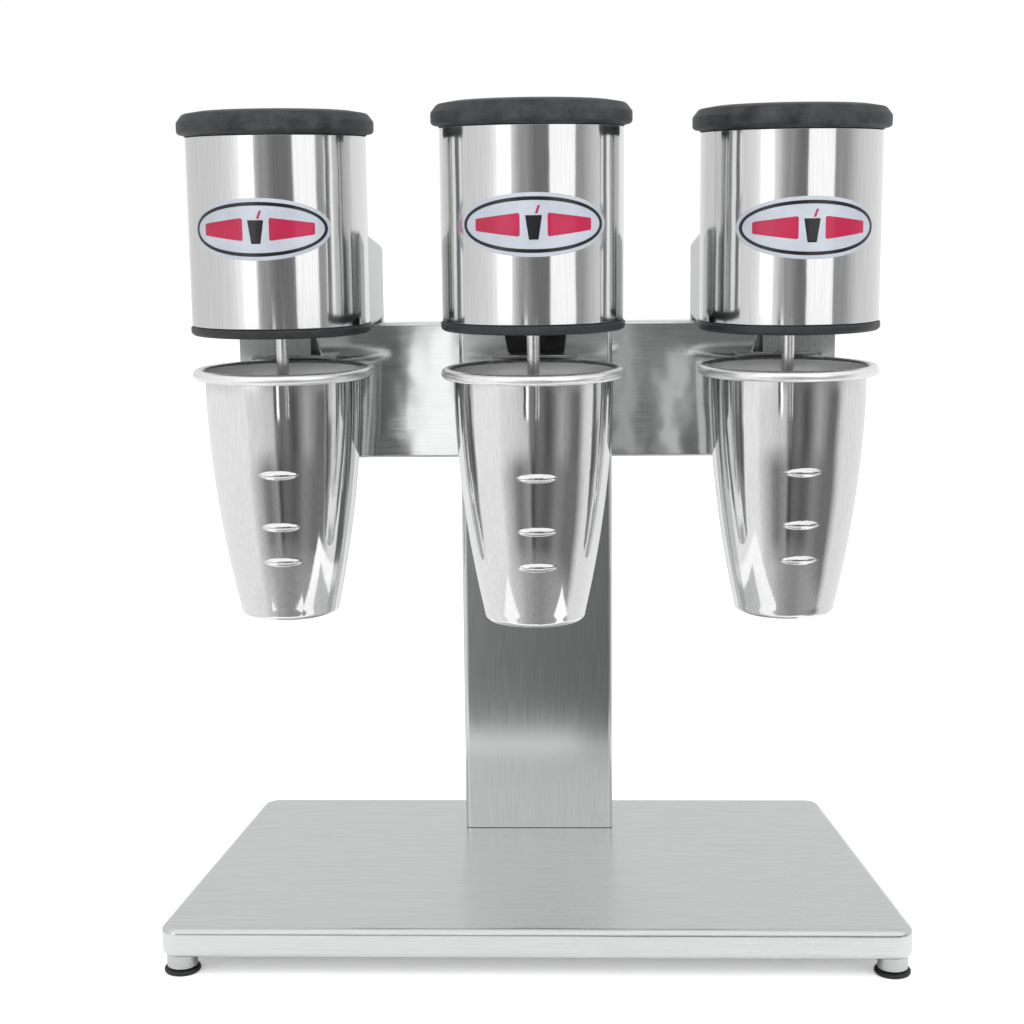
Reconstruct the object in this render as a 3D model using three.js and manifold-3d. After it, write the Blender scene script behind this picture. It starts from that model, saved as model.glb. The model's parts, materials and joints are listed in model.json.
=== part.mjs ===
// Triple-head milkshake mixer: a folded base on four feet, one upright column, a crossbar,
// and three motor heads, each with a spindle that reaches down into its own steel cup.
// Millimetres. +Z up, +X to the right, -Y towards the user.
// The origin is on the table, under the middle of the base.

import * as THREE from 'three';
import { mergeVertices } from 'three/addons/utils/BufferGeometryUtils.js';
import Module from 'manifold-3d';

const wasm = await Module();
wasm.setup();

// ---------- driving dimensions ----------

const GAP = 0.3;               // clearance between pieces that meet
const SHEET = 2;               // wall of the folded steel pieces

const BASE_DEPTH = 220;
const BASE_FRONT_HALF = 212;   // half width along the front edge, before its corners are rounded
const BASE_REAR_HALF = 186;    // half width along the rear edge
const BASE_BOTTOM = 12.4;
const BASE_TOP = 30.2;
const BASE_CORNER = 10;        // plan corner radius
const BASE_EDGE = 4;           // rolled edge radius
const BASE_LIP = 27;           // width of the lip folded in along the bottom

const FOOT_INSET_Y = 14;
const FOOT_INSET_X = 9.6;
const FOOT_COLLAR_R = 8.8;
const FOOT_COLLAR_EDGE = 0.8;
const FOOT_PAD_R = 10.5;
const FOOT_PAD_H = 2.6;
const FOOT_PAD_EDGE = 0.8;

const COLUMN_HALF = 47.2;
const COLUMN_FRONT = 53;
const COLUMN_BACK = 98;
const TOP_FRONT_Z = 412;       // height of the sloped tops of column and brackets, at the front
const TOP_BACK_Z = 402;        // and at the back
const EDGE = 3;                // rounded folds of column and brackets
const GLAND_Z = 62;
const GLAND_BORE_R = 3.6;
const GLAND_THREAD_R = 6;
const GLAND_HEX_R = 9.5;

const BAR_FRONT = 70;
const BAR_DEPTH = 18;
const BAR_BOTTOM = 269.6;
const BAR_TOP = 354.6;
const BAR_TOP_HALF = 141;
const BAR_BOTTOM_HALF = 120.5;
const BAR_CORNER = 7.5;        // rounded lower corners
const BAR_TOP_CORNER = 3;
const BAR_EDGE = 1.2;
const BAR_LEAD_X = 112;        // |X| and Z where a lead passes from the crossbar into a bracket
const BAR_LEAD_Z = 328;

const BRACKET_INNER = 98;      // |X| of an outer bracket's inner side
const BRACKET_OUTER = 186;     // |X| of its outer side
const BRACKET_BACK = 103;
const BRACKET_SKIRT_Z = 300;   // bottom of the part that hangs beside the crossbar
const SADDLE_HALF = 30;        // half width of the middle head's bracket
const SADDLE_BOTTOM = 360;
const SADDLE_TOP = 408;

const HEAD_SPACING = 150;
const HEAD_FORWARD = -12;      // Y of the middle head's axis
const HEAD_SETBACK = 26;       // the outer heads stand this much further back
const HEAD_DROP = 3;           // and hang this much lower; the heights below are the middle head's
const FLANGE_Z = 356.2;        // underside of a head
const SHELL_BOTTOM = 361.8;
const SHELL_TOP = 470.1;
const SHELL_R = 52.3;
const SHELL_WALL = 1.2;
const FLANGE_R = SHELL_R + 0.8;
const SPIGOT_R = SHELL_R - SHELL_WALL - GAP;
const LID_R = 57.2;
const LEAD_HOLE_R = 8;
const LEAD_HOLE_Z = 384;
const BOOT_BOTTOM = 338;       // rubber boot behind and below the middle head
const BOOT_FRONT = 38;
const BOOT_HALF = 17;
const BOOT_FLARE = 2.8;        // how much wider each side is at its top
const BOOT_OFFSET = 0.5;       // its foot sits this much to the right

const SHAFT_R = 3.75;
const SHAFT_BOTTOM = 202.2;
const SHAFT_TOP = 452.2;
const SHAFT_CLEARANCE = 0.85;  // round the shaft where it passes through a cover
const BEARING_R = 11;
const BEARING_W = 7;
const BEARING_HUB_R = 14;      // outside of the two bearing seats
const LOWER_BEARING_Z = FLANGE_Z + 8.6;
const UPPER_BEARING_Z = FLANGE_Z + 88.6;
const CAN_R = 39;              // motor frame, its wall and the bore of its field laminations
const CAN_WALL = 3;
const FIELD_R = 25;
const ARMATURE_R = 23.5;
const FAN_R = 32;
const AGITATOR_R = 14.2;
const AGITATOR_WAVE = 0.9;
const HUB_R = 6.2;

const CUP_BOTTOM = 185.4;
const CUP_DROP = 1.5;          // the outer cups hang this much lower
const CUP_HEIGHT = 149;
const CUP_FOOT_R = 29;
const CUP_NECK_R = 46.2;
const CUP_RIM_R = 53.4;
const CUP_BEAD_R = 3.1;        // radius of the rolled rim
const CUP_WALL = 1;
const CUP_SWELL = 1.9;         // exponent of the cup's curve: 1 is a plain cone
const CLIP_HALF = 26;
const CLIP_CLEARANCE = 0.7;
const CLIP_DEPTH = 16;         // how far the clip hangs down behind the rim
const CLIP_LAP = 4.5;          // how far in its jaw reaches over the rim

const BADGE_HALF_W = 39.8;
const BADGE_HALF_H = 17.4;
const BADGE_T = 0.6;
const BADGE_BAND_HALF = 25;    // the badge is cut from a band this far above and below its middle

const SWITCH_X = 142;          // |X| of the outer switches
const SWITCH_Z = 384;
const SWITCH_W = 15;           // across, X
const SWITCH_H = 21;           // up, Z
const SWITCH_FLANGE = 1.8;     // how far its frame stands off the wall
const ROCKER_HALF = 4.6;
const ROCKER_PIVOT = 1;        // pivot's distance behind the wall
const ROCKER_TILT = THREE.MathUtils.degToRad(10);

const ROUND = 28;              // facets of the large round pieces
const SMALL_ROUND = 14;        // facets of the small ones

// ---------- materials ----------

const finish = (color, roughness, metalness) =>
  new THREE.MeshStandardMaterial({ color, roughness, metalness });

const brushedSteel = finish(0xb9bcbb, 0.34, 1);
const polishedSteel = finish(0xd4d6d8, 0.12, 1);
const blackPlastic = finish(0x26272a, 0.6, 0);
const blackRubber = finish(0x141415, 0.85, 0);
const switchPlastic = finish(0x111113, 0.35, 0);
const laminatedIron = finish(0x5d5f62, 0.55, 1);
const armatureIron = finish(0x7a5a3c, 0.5, 1);
const bearingSteel = finish(0xc8cacc, 0.2, 1);
const badgeEnamel = finish(0xb9c0c8, 0.3, 0.1);

// ---------- shape helpers ----------

const point = (x, y) => new THREE.Vector2(x, y);

/** Outline through the given corners, in order. */
function polygon(corners) {
  return new THREE.Shape(corners.map(([x, y]) => point(x, y)));
}

/** Outline through the given corners, each [x, y, radius] rounded with a quadratic curve. */
function roundedPolygon(corners) {
  const shape = new THREE.Shape();
  corners.forEach(([x, y, radius], i) => {
    const here = point(x, y);
    const [px, py] = corners.at(i - 1);
    const [nx, ny] = corners[(i + 1) % corners.length];
    const from = point(px, py).sub(here).setLength(radius).add(here);
    const to = point(nx, ny).sub(here).setLength(radius).add(here);
    if (i === 0) shape.moveTo(from.x, from.y);
    else shape.lineTo(from.x, from.y);
    if (radius > 0) shape.quadraticCurveTo(x, y, to.x, to.y);
  });
  shape.closePath();
  return shape;
}

/** Body of revolution about Z. The profile runs counter-clockwise in (radius, z). */
function turned(profile, facets) {
  const points = profile.map(([radius, z]) => point(radius, z));
  return new THREE.LatheGeometry(points, facets).rotateX(Math.PI / 2);
}

/** Like turned, for a profile that doesn't touch the axis: the last point joins the first. */
function turnedRing(profile, facets) {
  return turned([...profile, profile[0]], facets);
}

/** Outline in (X, Y) swept up Z from bottom to top, its rim rounded by edge. */
function sweptUp(shape, bottom, top, edge = 0) {
  return new THREE.ExtrudeGeometry(shape, {
    depth: top - bottom - 2 * edge,
    curveSegments: 3,
    bevelEnabled: edge > 0,
    bevelSize: edge,
    bevelOffset: -edge,
    bevelThickness: edge,
    bevelSegments: 2,
  }).translate(0, 0, bottom + edge);
}

/** Outline in (Y, Z) swept along X from one side to the other. */
function sweptAcross(shape, left, right, edge = 0) {
  const swap = new THREE.Matrix4().set(0, 0, 1, 0, 1, 0, 0, 0, 0, 1, 0, 0, 0, 0, 0, 1);
  return sweptUp(shape, left, right, edge).applyMatrix4(swap);
}

/** Outline in (X, Z) swept along Y from front to back. */
function sweptBack(shape, front, back, edge = 0) {
  return sweptUp(shape, -back, -front, edge).rotateX(Math.PI / 2);
}

/** Box between two opposite corners. */
function box([x0, y0, z0], [x1, y1, z1]) {
  return new THREE.BoxGeometry(x1 - x0, y1 - y0, z1 - z0)
    .translate((x0 + x1) / 2, (y0 + y1) / 2, (z0 + z1) / 2);
}

/** Round bar along Z. */
function rod(radius, bottom, top, facets = SMALL_ROUND) {
  return turned([[0, bottom], [radius, bottom], [radius, top], [0, top]], facets);
}

/** Round bar along Y, centred on x and z. */
function crossRod(radius, front, back, x, z) {
  return rod(radius, -back, -front).rotateX(Math.PI / 2).translate(x, 0, z);
}

/** Closed geometry to a solid that can be joined and cut. */
function toSolid(geometry) {
  const bare = geometry.clone();
  bare.deleteAttribute('normal');
  bare.deleteAttribute('uv');
  const merged = mergeVertices(bare, 1e-4);
  const corners = [];
  for (let i = 0; i < merged.index.count; i += 3) {
    const [a, b, c] = [0, 1, 2].map((k) => merged.index.getX(i + k));
    if (a !== b && b !== c && c !== a) corners.push(a, b, c);
  }
  const mesh = new wasm.Mesh({
    numProp: 3,
    vertProperties: new Float32Array(merged.attributes.position.array),
    triVerts: new Uint32Array(corners),
  });
  return new wasm.Manifold(mesh);
}

/** Solid back to a geometry. */
function toGeometry(solid) {
  const mesh = solid.getMesh();
  const geometry = new THREE.BufferGeometry();
  geometry.setAttribute('position', new THREE.BufferAttribute(mesh.vertProperties, 3));
  geometry.setIndex(new THREE.BufferAttribute(mesh.triVerts, 1));
  return geometry;
}

/** One geometry with others joined to it and others cut from it. */
function shaped(body, { join = [], cut = [] }) {
  const joined = join.reduce((solid, piece) => solid.add(toSolid(piece)), toSolid(body));
  const carved = cut.reduce((solid, piece) => solid.subtract(toSolid(piece)), joined);
  return toGeometry(carved);
}

/** Mirror image of a geometry across the plane X = 0, its faces still pointing out. */
function mirroredX(geometry) {
  const image = geometry.clone().scale(-1, 1, 1);
  const { index } = image;
  for (let i = 0; i < index.count; i += 3) {
    const second = index.getX(i + 1);
    index.setX(i + 1, index.getX(i + 2));
    index.setX(i + 2, second);
  }
  return image;
}

function named(name, geometry, material) {
  const mesh = new THREE.Mesh(geometry, material);
  mesh.name = name;
  return mesh;
}

// ---------- base and feet ----------

const baseHalfAt = (y) =>
  THREE.MathUtils.mapLinear(y, -BASE_DEPTH / 2, BASE_DEPTH / 2, BASE_FRONT_HALF, BASE_REAR_HALF);

function baseOutline(inset) {
  const y = BASE_DEPTH / 2 - inset;
  const front = baseHalfAt(-y) - inset;
  const rear = baseHalfAt(y) - inset;
  const radius = Math.max(BASE_CORNER - inset, 2);
  return roundedPolygon([
    [-front, -y, radius], [front, -y, radius], [rear, y, radius], [-rear, y, radius],
  ]);
}

function basePan() {
  const outside = sweptUp(baseOutline(0), BASE_BOTTOM, BASE_TOP, BASE_EDGE);
  const hollow = sweptUp(baseOutline(SHEET), BASE_BOTTOM + SHEET, BASE_TOP - SHEET);
  const mouth = sweptUp(baseOutline(BASE_LIP), BASE_BOTTOM - 1, BASE_BOTTOM + SHEET + 1);
  return shaped(outside, { cut: [hollow, mouth] });
}

function footCollar() {
  const top = BASE_BOTTOM - GAP;
  const bottom = FOOT_PAD_H + GAP;
  const inner = FOOT_COLLAR_R - FOOT_COLLAR_EDGE;
  return turned([
    [0, bottom], [inner, bottom], [FOOT_COLLAR_R, bottom + FOOT_COLLAR_EDGE],
    [FOOT_COLLAR_R, top - FOOT_COLLAR_EDGE], [inner, top], [0, top],
  ], SMALL_ROUND);
}

function footPad() {
  const inner = FOOT_PAD_R - FOOT_PAD_EDGE;
  return turned([
    [0, 0], [inner, 0], [FOOT_PAD_R, FOOT_PAD_EDGE], [FOOT_PAD_R, FOOT_PAD_H - FOOT_PAD_EDGE],
    [inner, FOOT_PAD_H], [0, FOOT_PAD_H],
  ], SMALL_ROUND);
}

function feet() {
  const group = new THREE.Group();
  for (const [end, ySide] of [['front', -1], ['rear', 1]]) {
    for (const [side, xSide] of [['left', -1], ['right', 1]]) {
      const y = ySide * (BASE_DEPTH / 2 - FOOT_INSET_Y);
      const foot = new THREE.Group();
      foot.add(named(`${end}_${side}_foot_collar`, footCollar(), polishedSteel));
      foot.add(named(`${end}_${side}_foot_pad`, footPad(), blackRubber));
      foot.position.set(xSide * (baseHalfAt(y) - FOOT_INSET_X), y, 0);
      group.add(foot);
    }
  }
  return group;
}

// ---------- column, crossbar and brackets ----------

/** Side view of a piece with the sloped top, drawn in (Y, Z) and shrunk by inset. */
function slopedSide(front, back, bottom, inset = 0) {
  return polygon([
    [front + inset, bottom], [back - inset, bottom],
    [back - inset, TOP_BACK_Z - inset], [front + inset, TOP_FRONT_Z - inset],
  ]);
}

/** Hole for a switch body through a rear wall. */
function switchHole(x, wallBack) {
  const [w, h] = [SWITCH_W / 2 - 1, SWITCH_H / 2 - 1];
  return box([x - w, wallBack - 2 * SHEET, SWITCH_Z - h], [x + w, wallBack + 1, SWITCH_Z + h]);
}

function columnTube() {
  const foot = BASE_TOP + GAP;
  const side = slopedSide(COLUMN_FRONT, COLUMN_BACK, foot - EDGE);
  const inside = slopedSide(COLUMN_FRONT, COLUMN_BACK, foot - 2 * EDGE, SHEET);
  const outside = sweptAcross(side, -COLUMN_HALF, COLUMN_HALF, EDGE);
  const hollow = sweptAcross(inside, -COLUMN_HALF + SHEET, COLUMN_HALF - SHEET);
  const beyond = COLUMN_HALF + 10;
  const trim = box([-beyond, 0, foot - 3 * EDGE], [beyond, COLUMN_BACK + 1, foot]);
  const barWindow = box(
    [-beyond, BAR_FRONT - GAP, BAR_BOTTOM - GAP],
    [beyond, BAR_FRONT + BAR_DEPTH + GAP, BAR_TOP + GAP],
  );
  const leadHole = crossRod(LEAD_HOLE_R, COLUMN_FRONT - 1, COLUMN_FRONT + SHEET + 1, 0, LEAD_HOLE_Z);
  const glandHole = crossRod(GLAND_THREAD_R + GAP, COLUMN_BACK - SHEET - 1, COLUMN_BACK + 1, 0, GLAND_Z);
  return shaped(outside, {
    cut: [hollow, trim, barWindow, leadHole, glandHole, switchHole(0, COLUMN_BACK)],
  });
}

function barOutline(inset) {
  const top = BAR_TOP_HALF - inset;
  const bottom = BAR_BOTTOM_HALF - inset;
  return roundedPolygon([
    [-bottom, BAR_BOTTOM + inset, BAR_CORNER], [bottom, BAR_BOTTOM + inset, BAR_CORNER],
    [top, BAR_TOP - inset, BAR_TOP_CORNER], [-top, BAR_TOP - inset, BAR_TOP_CORNER],
  ]);
}

function crossbar() {
  const back = BAR_FRONT + BAR_DEPTH;
  const outside = sweptBack(barOutline(0), BAR_FRONT, back, BAR_EDGE);
  const hollow = sweptBack(barOutline(SHEET), BAR_FRONT + SHEET, back - SHEET);
  const leadHoles = [-BAR_LEAD_X, 0, BAR_LEAD_X].map(
    (x) => crossRod(LEAD_HOLE_R, back - SHEET - 1, back + 1, x, BAR_LEAD_Z),
  );
  return shaped(outside, { cut: [hollow, ...leadHoles] });
}

/** Room for a head in the bracket that carries it: its shell, and the wider rim below. */
function headSeat(x, y, drop) {
  const shell = rod(SHELL_R + GAP, FLANGE_Z - 10, TOP_FRONT_Z + 10, ROUND);
  const rim = rod(FLANGE_R + GAP, FLANGE_Z - 10, SHELL_BOTTOM, ROUND);
  return [shell.translate(x, y, -drop), rim.translate(x, y, -drop)];
}

/** Right-hand outer bracket: a folded box on the crossbar that carries one head. */
function outerBracket() {
  const headY = HEAD_FORWARD + HEAD_SETBACK;
  const ledge = BAR_TOP + GAP;
  const barBack = BAR_FRONT + BAR_DEPTH + GAP;
  const barEnd = BAR_TOP_HALF + GAP;
  const inner = BRACKET_INNER + SHEET;
  const outer = BRACKET_OUTER - SHEET;
  const back = BRACKET_BACK - SHEET;
  const skirtTop = ledge + 2 * SHEET;   // both skirts run up into the folded box above them

  const upper = sweptAcross(slopedSide(headY, BRACKET_BACK, ledge), BRACKET_INNER, BRACKET_OUTER, EDGE);
  const skirtBehind = box([BRACKET_INNER, barBack, BRACKET_SKIRT_Z], [BRACKET_OUTER, BRACKET_BACK, skirtTop]);
  const skirtBeside = box([barEnd, BAR_FRONT, BRACKET_SKIRT_Z], [BRACKET_OUTER, BRACKET_BACK, skirtTop]);

  const upperSide = slopedSide(headY - SHEET - 1, BRACKET_BACK, ledge + SHEET, SHEET);
  const upperHollow = sweptAcross(upperSide, inner, outer);
  const hollowBottom = BRACKET_SKIRT_Z + SHEET;
  const hollowBehind = box([inner, barBack + SHEET, hollowBottom], [outer, back, skirtTop + 1]);
  const hollowBeside = box(
    [barEnd + SHEET, BAR_FRONT + SHEET, hollowBottom],
    [outer, back, skirtTop + 1],
  );
  const leadHole = crossRod(LEAD_HOLE_R, barBack - 1, barBack + SHEET + 1, BAR_LEAD_X, BAR_LEAD_Z);
  return shaped(upper, {
    join: [skirtBehind, skirtBeside],
    cut: [
      upperHollow, hollowBehind, hollowBeside, leadHole,
      ...headSeat(HEAD_SPACING, headY, HEAD_DROP), switchHole(SWITCH_X, BRACKET_BACK),
    ],
  });
}

/** Short frame between the column and the middle head. */
function middleBracket() {
  const back = COLUMN_FRONT - GAP;
  const body = box([-SADDLE_HALF, HEAD_FORWARD, SADDLE_BOTTOM], [SADDLE_HALF, back, SADDLE_TOP]);
  const through = box(
    [-SADDLE_HALF + SHEET, HEAD_FORWARD - 1, SADDLE_BOTTOM + SHEET],
    [SADDLE_HALF - SHEET, back + 1, SADDLE_TOP - SHEET],
  );
  return shaped(body, { cut: [through, ...headSeat(0, HEAD_FORWARD, 0)] });
}

/** Rubber boot round the middle head's leads, between the column and the head's underside. */
function leadBoot() {
  const top = FLANGE_Z - GAP;
  const topHalf = BOOT_HALF + BOOT_FLARE;
  const [footLeft, footRight] = [BOOT_OFFSET - BOOT_HALF, BOOT_OFFSET + BOOT_HALF];
  const outline = polygon([
    [footLeft, BOOT_BOTTOM], [footRight, BOOT_BOTTOM], [topHalf, top], [-topHalf, top],
  ]);
  return sweptBack(outline, BOOT_FRONT, COLUMN_FRONT - GAP);
}

/** Mains cable gland in the column's rear wall, turned about its own axis and laid along Y. */
function cableGland() {
  const wallBack = COLUMN_BACK + GAP;
  const inside = wallBack - 8;
  const nutBack = wallBack + 3;
  return turnedRing([
    [GLAND_BORE_R, inside], [GLAND_THREAD_R, inside], [GLAND_THREAD_R, wallBack],
    [GLAND_HEX_R, wallBack], [GLAND_HEX_R, nutBack], [GLAND_HEX_R - 2, nutBack + 1],
    [GLAND_THREAD_R, nutBack + 6], [GLAND_BORE_R, nutBack + 7],
  ], SMALL_ROUND).rotateX(-Math.PI / 2).translate(0, 0, GLAND_Z);
}

// ---------- one motor head, about its own axis ----------

function housingShell() {
  const inner = SHELL_R - SHELL_WALL;
  const tube = turnedRing([
    [inner, SHELL_BOTTOM], [SHELL_R, SHELL_BOTTOM], [SHELL_R, SHELL_TOP], [inner, SHELL_TOP],
  ], ROUND);
  const leadHole = crossRod(LEAD_HOLE_R, inner - 5, SHELL_R + 1, 0, LEAD_HOLE_Z);
  return shaped(tube, { cut: [leadHole] });
}

function lid() {
  const seat = SHELL_TOP + GAP;
  const spigotInner = SPIGOT_R - 2.3;
  const [spigotBottom, ceiling] = [seat - 5, seat + 4];
  return turned([
    [0, ceiling], [spigotInner, ceiling], [spigotInner, spigotBottom], [SPIGOT_R, spigotBottom],
    [SPIGOT_R, seat], [LID_R - 1.4, seat], [LID_R, seat + 1.4], [LID_R, seat + 9.6],
    [LID_R - 2.6, seat + 12.8], [LID_R - 7, seat + 13.9], [0, seat + 14.6],
  ], ROUND);
}

/** Cover under the head: rounded rim, spigot inside the shell and a boss for the bearing. */
function lowerFlange() {
  const z = FLANGE_Z;
  const pocket = BEARING_R + GAP;
  const bore = SHAFT_R + SHAFT_CLEARANCE;
  const shoulder = SHELL_BOTTOM - GAP;
  const spigotTop = shoulder + 4;
  const plateTop = z + 3;
  const hubTop = z + 17;
  return turnedRing([
    [bore, z], [FLANGE_R - 2, z], [FLANGE_R, z + 1.6], [FLANGE_R, shoulder], [SPIGOT_R, shoulder],
    [SPIGOT_R, spigotTop], [SPIGOT_R - 2, spigotTop], [SPIGOT_R - 2, plateTop],
    [BEARING_HUB_R, plateTop], [BEARING_HUB_R, hubTop], [pocket, hubTop],
    [pocket, LOWER_BEARING_Z - GAP], [bore, LOWER_BEARING_Z - GAP],
  ], ROUND);
}

/** Motor frame with its field laminations and, on top, the seat of the upper bearing. */
function motorStator() {
  const z = FLANGE_Z + 3 + GAP;
  const can = CAN_R - CAN_WALL;
  const [fieldBottom, fieldTop] = [z + 30, z + 66];
  const pocket = BEARING_R + GAP;
  const bore = SHAFT_R + SHAFT_CLEARANCE;
  const seat = UPPER_BEARING_Z - GAP;
  const [roofBottom, roofTop, hubTop] = [seat - 5.3, seat - 2.3, seat + 8.6];
  return turnedRing([
    [can, z], [CAN_R, z], [CAN_R, roofTop], [BEARING_HUB_R, roofTop], [BEARING_HUB_R, hubTop],
    [pocket, hubTop], [pocket, seat], [bore, seat], [bore, roofBottom], [can, roofBottom],
    [can, fieldTop], [FIELD_R, fieldTop], [FIELD_R, fieldBottom], [can, fieldBottom],
  ], SMALL_ROUND);
}

/** Armature with its commutator and cooling fan, pressed on the shaft. */
function rotor() {
  const bore = SHAFT_R + GAP;
  const [neck, commutator] = [9, 12];
  const fanBottom = FLANGE_Z + 18.5;
  const fanTop = fanBottom + 4;
  const [coreBottom, coreTop, top] = [fanBottom + 18, fanBottom + 48, fanBottom + 61];
  return turnedRing([
    [bore, fanBottom], [FAN_R, fanBottom], [FAN_R, fanTop], [neck, fanTop], [neck, coreBottom],
    [ARMATURE_R, coreBottom], [ARMATURE_R, coreTop], [commutator, coreTop], [commutator, top],
    [bore, top],
  ], SMALL_ROUND);
}

function bearing(z) {
  const bore = SHAFT_R + GAP;
  return turnedRing([
    [bore, z], [BEARING_R, z], [BEARING_R, z + BEARING_W], [bore, z + BEARING_W],
  ], SMALL_ROUND);
}

/** Wavy mixing disc on a short hub at the foot of the shaft. */
function agitator() {
  const [discBottom, discTop, hubTop] = [SHAFT_BOTTOM + 1, SHAFT_BOTTOM + 3.2, SHAFT_BOTTOM + 12];
  const outline = new THREE.Shape();
  const steps = 24;
  const waves = 6;
  for (let i = 0; i < steps; i += 1) {
    const angle = (i / steps) * 2 * Math.PI;
    const radius = AGITATOR_R + AGITATOR_WAVE * Math.cos(waves * angle);
    const [x, y] = [radius * Math.cos(angle), radius * Math.sin(angle)];
    if (i === 0) outline.moveTo(x, y);
    else outline.lineTo(x, y);
  }
  outline.closePath();
  return shaped(sweptUp(outline, discBottom, discTop), {
    join: [rod(HUB_R, discTop - 1, hubTop)],
    cut: [rod(SHAFT_R + GAP, discBottom - 1, hubTop + 1)],
  });
}

/** Radius of the cup's outside at a height above its bottom: a taper that swells upwards. */
function cupRadius(height) {
  const left = 1 - height / (CUP_HEIGHT - 2 * CUP_BEAD_R);
  return CUP_NECK_R - (CUP_NECK_R - CUP_FOOT_R) * left ** CUP_SWELL;
}

function cup() {
  const neck = CUP_HEIGHT - 2 * CUP_BEAD_R;
  const heights = [0.035, 0.18, 0.39, 0.66, 1].map((share) => share * neck);
  const outside = heights.map((h) => [cupRadius(h), CUP_BOTTOM + h]);
  const inside = heights.toReversed().map((h) => [cupRadius(h) - CUP_WALL, CUP_BOTTOM + h]);
  const beadR = CUP_RIM_R - CUP_BEAD_R;
  const beadZ = CUP_BOTTOM + CUP_HEIGHT - CUP_BEAD_R;
  const bead = [-60, 0, 45, 90, 135].map((degrees) => {
    const angle = THREE.MathUtils.degToRad(degrees);
    return [beadR + CUP_BEAD_R * Math.cos(angle), beadZ + CUP_BEAD_R * Math.sin(angle)];
  });
  const floor = CUP_BOTTOM + CUP_WALL;
  return turned([
    [0, CUP_BOTTOM], [CUP_FOOT_R - 4.5, CUP_BOTTOM], [CUP_FOOT_R - 1, CUP_BOTTOM + 1.6],
    ...outside, ...bead, ...inside,
    [CUP_FOOT_R - 3, floor + 1.2], [CUP_FOOT_R - 5.5, floor], [0, floor],
  ], ROUND);
}

/** Steel angle on the panel behind a cup. It hugs the rolled rim from above and behind. */
function cupClip(panel) {
  const underside = CUP_BOTTOM + CUP_HEIGHT + CLIP_CLEARANCE;
  const wallBottom = underside - CLIP_DEPTH;
  const back = panel - GAP;
  const reach = CUP_RIM_R + CLIP_CLEARANCE;
  const lap = CUP_RIM_R - CLIP_LAP;
  const jaw = box([-CLIP_HALF, lap / 2, underside], [CLIP_HALF, back, underside + SHEET]);
  const wall = box([-CLIP_HALF, reach, wallBottom], [CLIP_HALF, back, underside + SHEET / 2]);
  const inside = rod(lap, underside - 1, underside + SHEET + 1, ROUND);
  const rimPath = rod(reach, wallBottom - 1, underside, ROUND);
  return shaped(jaw, { join: [wall], cut: [inside, rimPath] });
}

/** Oval badge bent round the front of the housing, its middle at z = 0. */
function badge() {
  const skinR = SHELL_R + GAP;
  const band = turnedRing([
    [skinR, -BADGE_BAND_HALF], [skinR + BADGE_T, -BADGE_BAND_HALF],
    [skinR + BADGE_T, BADGE_BAND_HALF], [skinR, BADGE_BAND_HALF],
  ], 2 * ROUND);
  const oval = new THREE.Shape().absellipse(0, 0, BADGE_HALF_W, BADGE_HALF_H, 0, 2 * Math.PI);
  const depth = SHELL_R + 8;
  const prism = new THREE.ExtrudeGeometry(oval, { depth, curveSegments: 14, bevelEnabled: false })
    .rotateX(Math.PI / 2);
  return toGeometry(toSolid(band).intersect(toSolid(prism)));
}

/** One head with its spindle and badge, hung drop lower than the middle one. */
function motorHead(side, { x, y, drop, badgeTurn, badgeZ }) {
  const group = new THREE.Group();
  const shaft = rod(SHAFT_R, SHAFT_BOTTOM, SHAFT_TOP);
  const oval = named(`${side}_badge`, badge(), badgeEnamel);
  oval.rotation.z = THREE.MathUtils.degToRad(badgeTurn);
  oval.position.z = badgeZ + drop;
  group.add(oval);
  group.add(named(`${side}_lid`, lid(), blackPlastic));
  group.add(named(`${side}_housing_shell`, housingShell(), brushedSteel));
  group.add(named(`${side}_lower_flange`, lowerFlange(), blackPlastic));
  group.add(named(`${side}_motor_stator`, motorStator(), laminatedIron));
  group.add(named(`${side}_rotor`, rotor(), armatureIron));
  group.add(named(`${side}_lower_bearing`, bearing(LOWER_BEARING_Z), bearingSteel));
  group.add(named(`${side}_upper_bearing`, bearing(UPPER_BEARING_Z), bearingSteel));
  group.add(named(`${side}_spindle_shaft`, shaft, polishedSteel));
  group.add(named(`${side}_agitator`, agitator(), polishedSteel));
  group.position.set(x, y, -drop);
  return group;
}

/** Cup and clip under a head. panelY is the Y of the panel that the clip is fixed to. */
function hungCup(side, { x, y, cupDrop, panelY }) {
  const group = new THREE.Group();
  group.add(named(`${side}_cup`, cup(), polishedSteel));
  group.add(named(`${side}_cup_clip`, cupClip(panelY - y), brushedSteel));
  group.position.set(x, y, -cupDrop);
  return group;
}

// ---------- rear rocker switches ----------

/** Switch frame and body, facing +Y with its flange seated on the plane y = 0. */
function switchBody() {
  const [w, h] = [SWITCH_W / 2, SWITCH_H / 2];
  const [step, side] = [1.3, 2.6];
  const flange = box([-w, GAP, -h], [w, SWITCH_FLANGE, h]);
  const body = box([-w + step, -11, -h + step], [w - step, 1, h - step]);
  const pocket = box([-w + side, -7.5, -h + side], [w - side, SWITCH_FLANGE + 1, h - side]);
  return shaped(flange, { join: [body], cut: [pocket] });
}

/** Rocker about its own pivot, which lies on the origin, tilted to the off position. */
function rocker() {
  const [edge, crest, hollow] = [7.3, 6.9, 4.2];
  const outline = polygon([
    [-3, -hollow], [0.4, -edge], [1.8, -crest], [1, 0], [1.8, crest], [0.4, edge], [-3, hollow],
  ]);
  return sweptAcross(outline, -ROCKER_HALF, ROCKER_HALF).rotateX(ROCKER_TILT);
}

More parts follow.
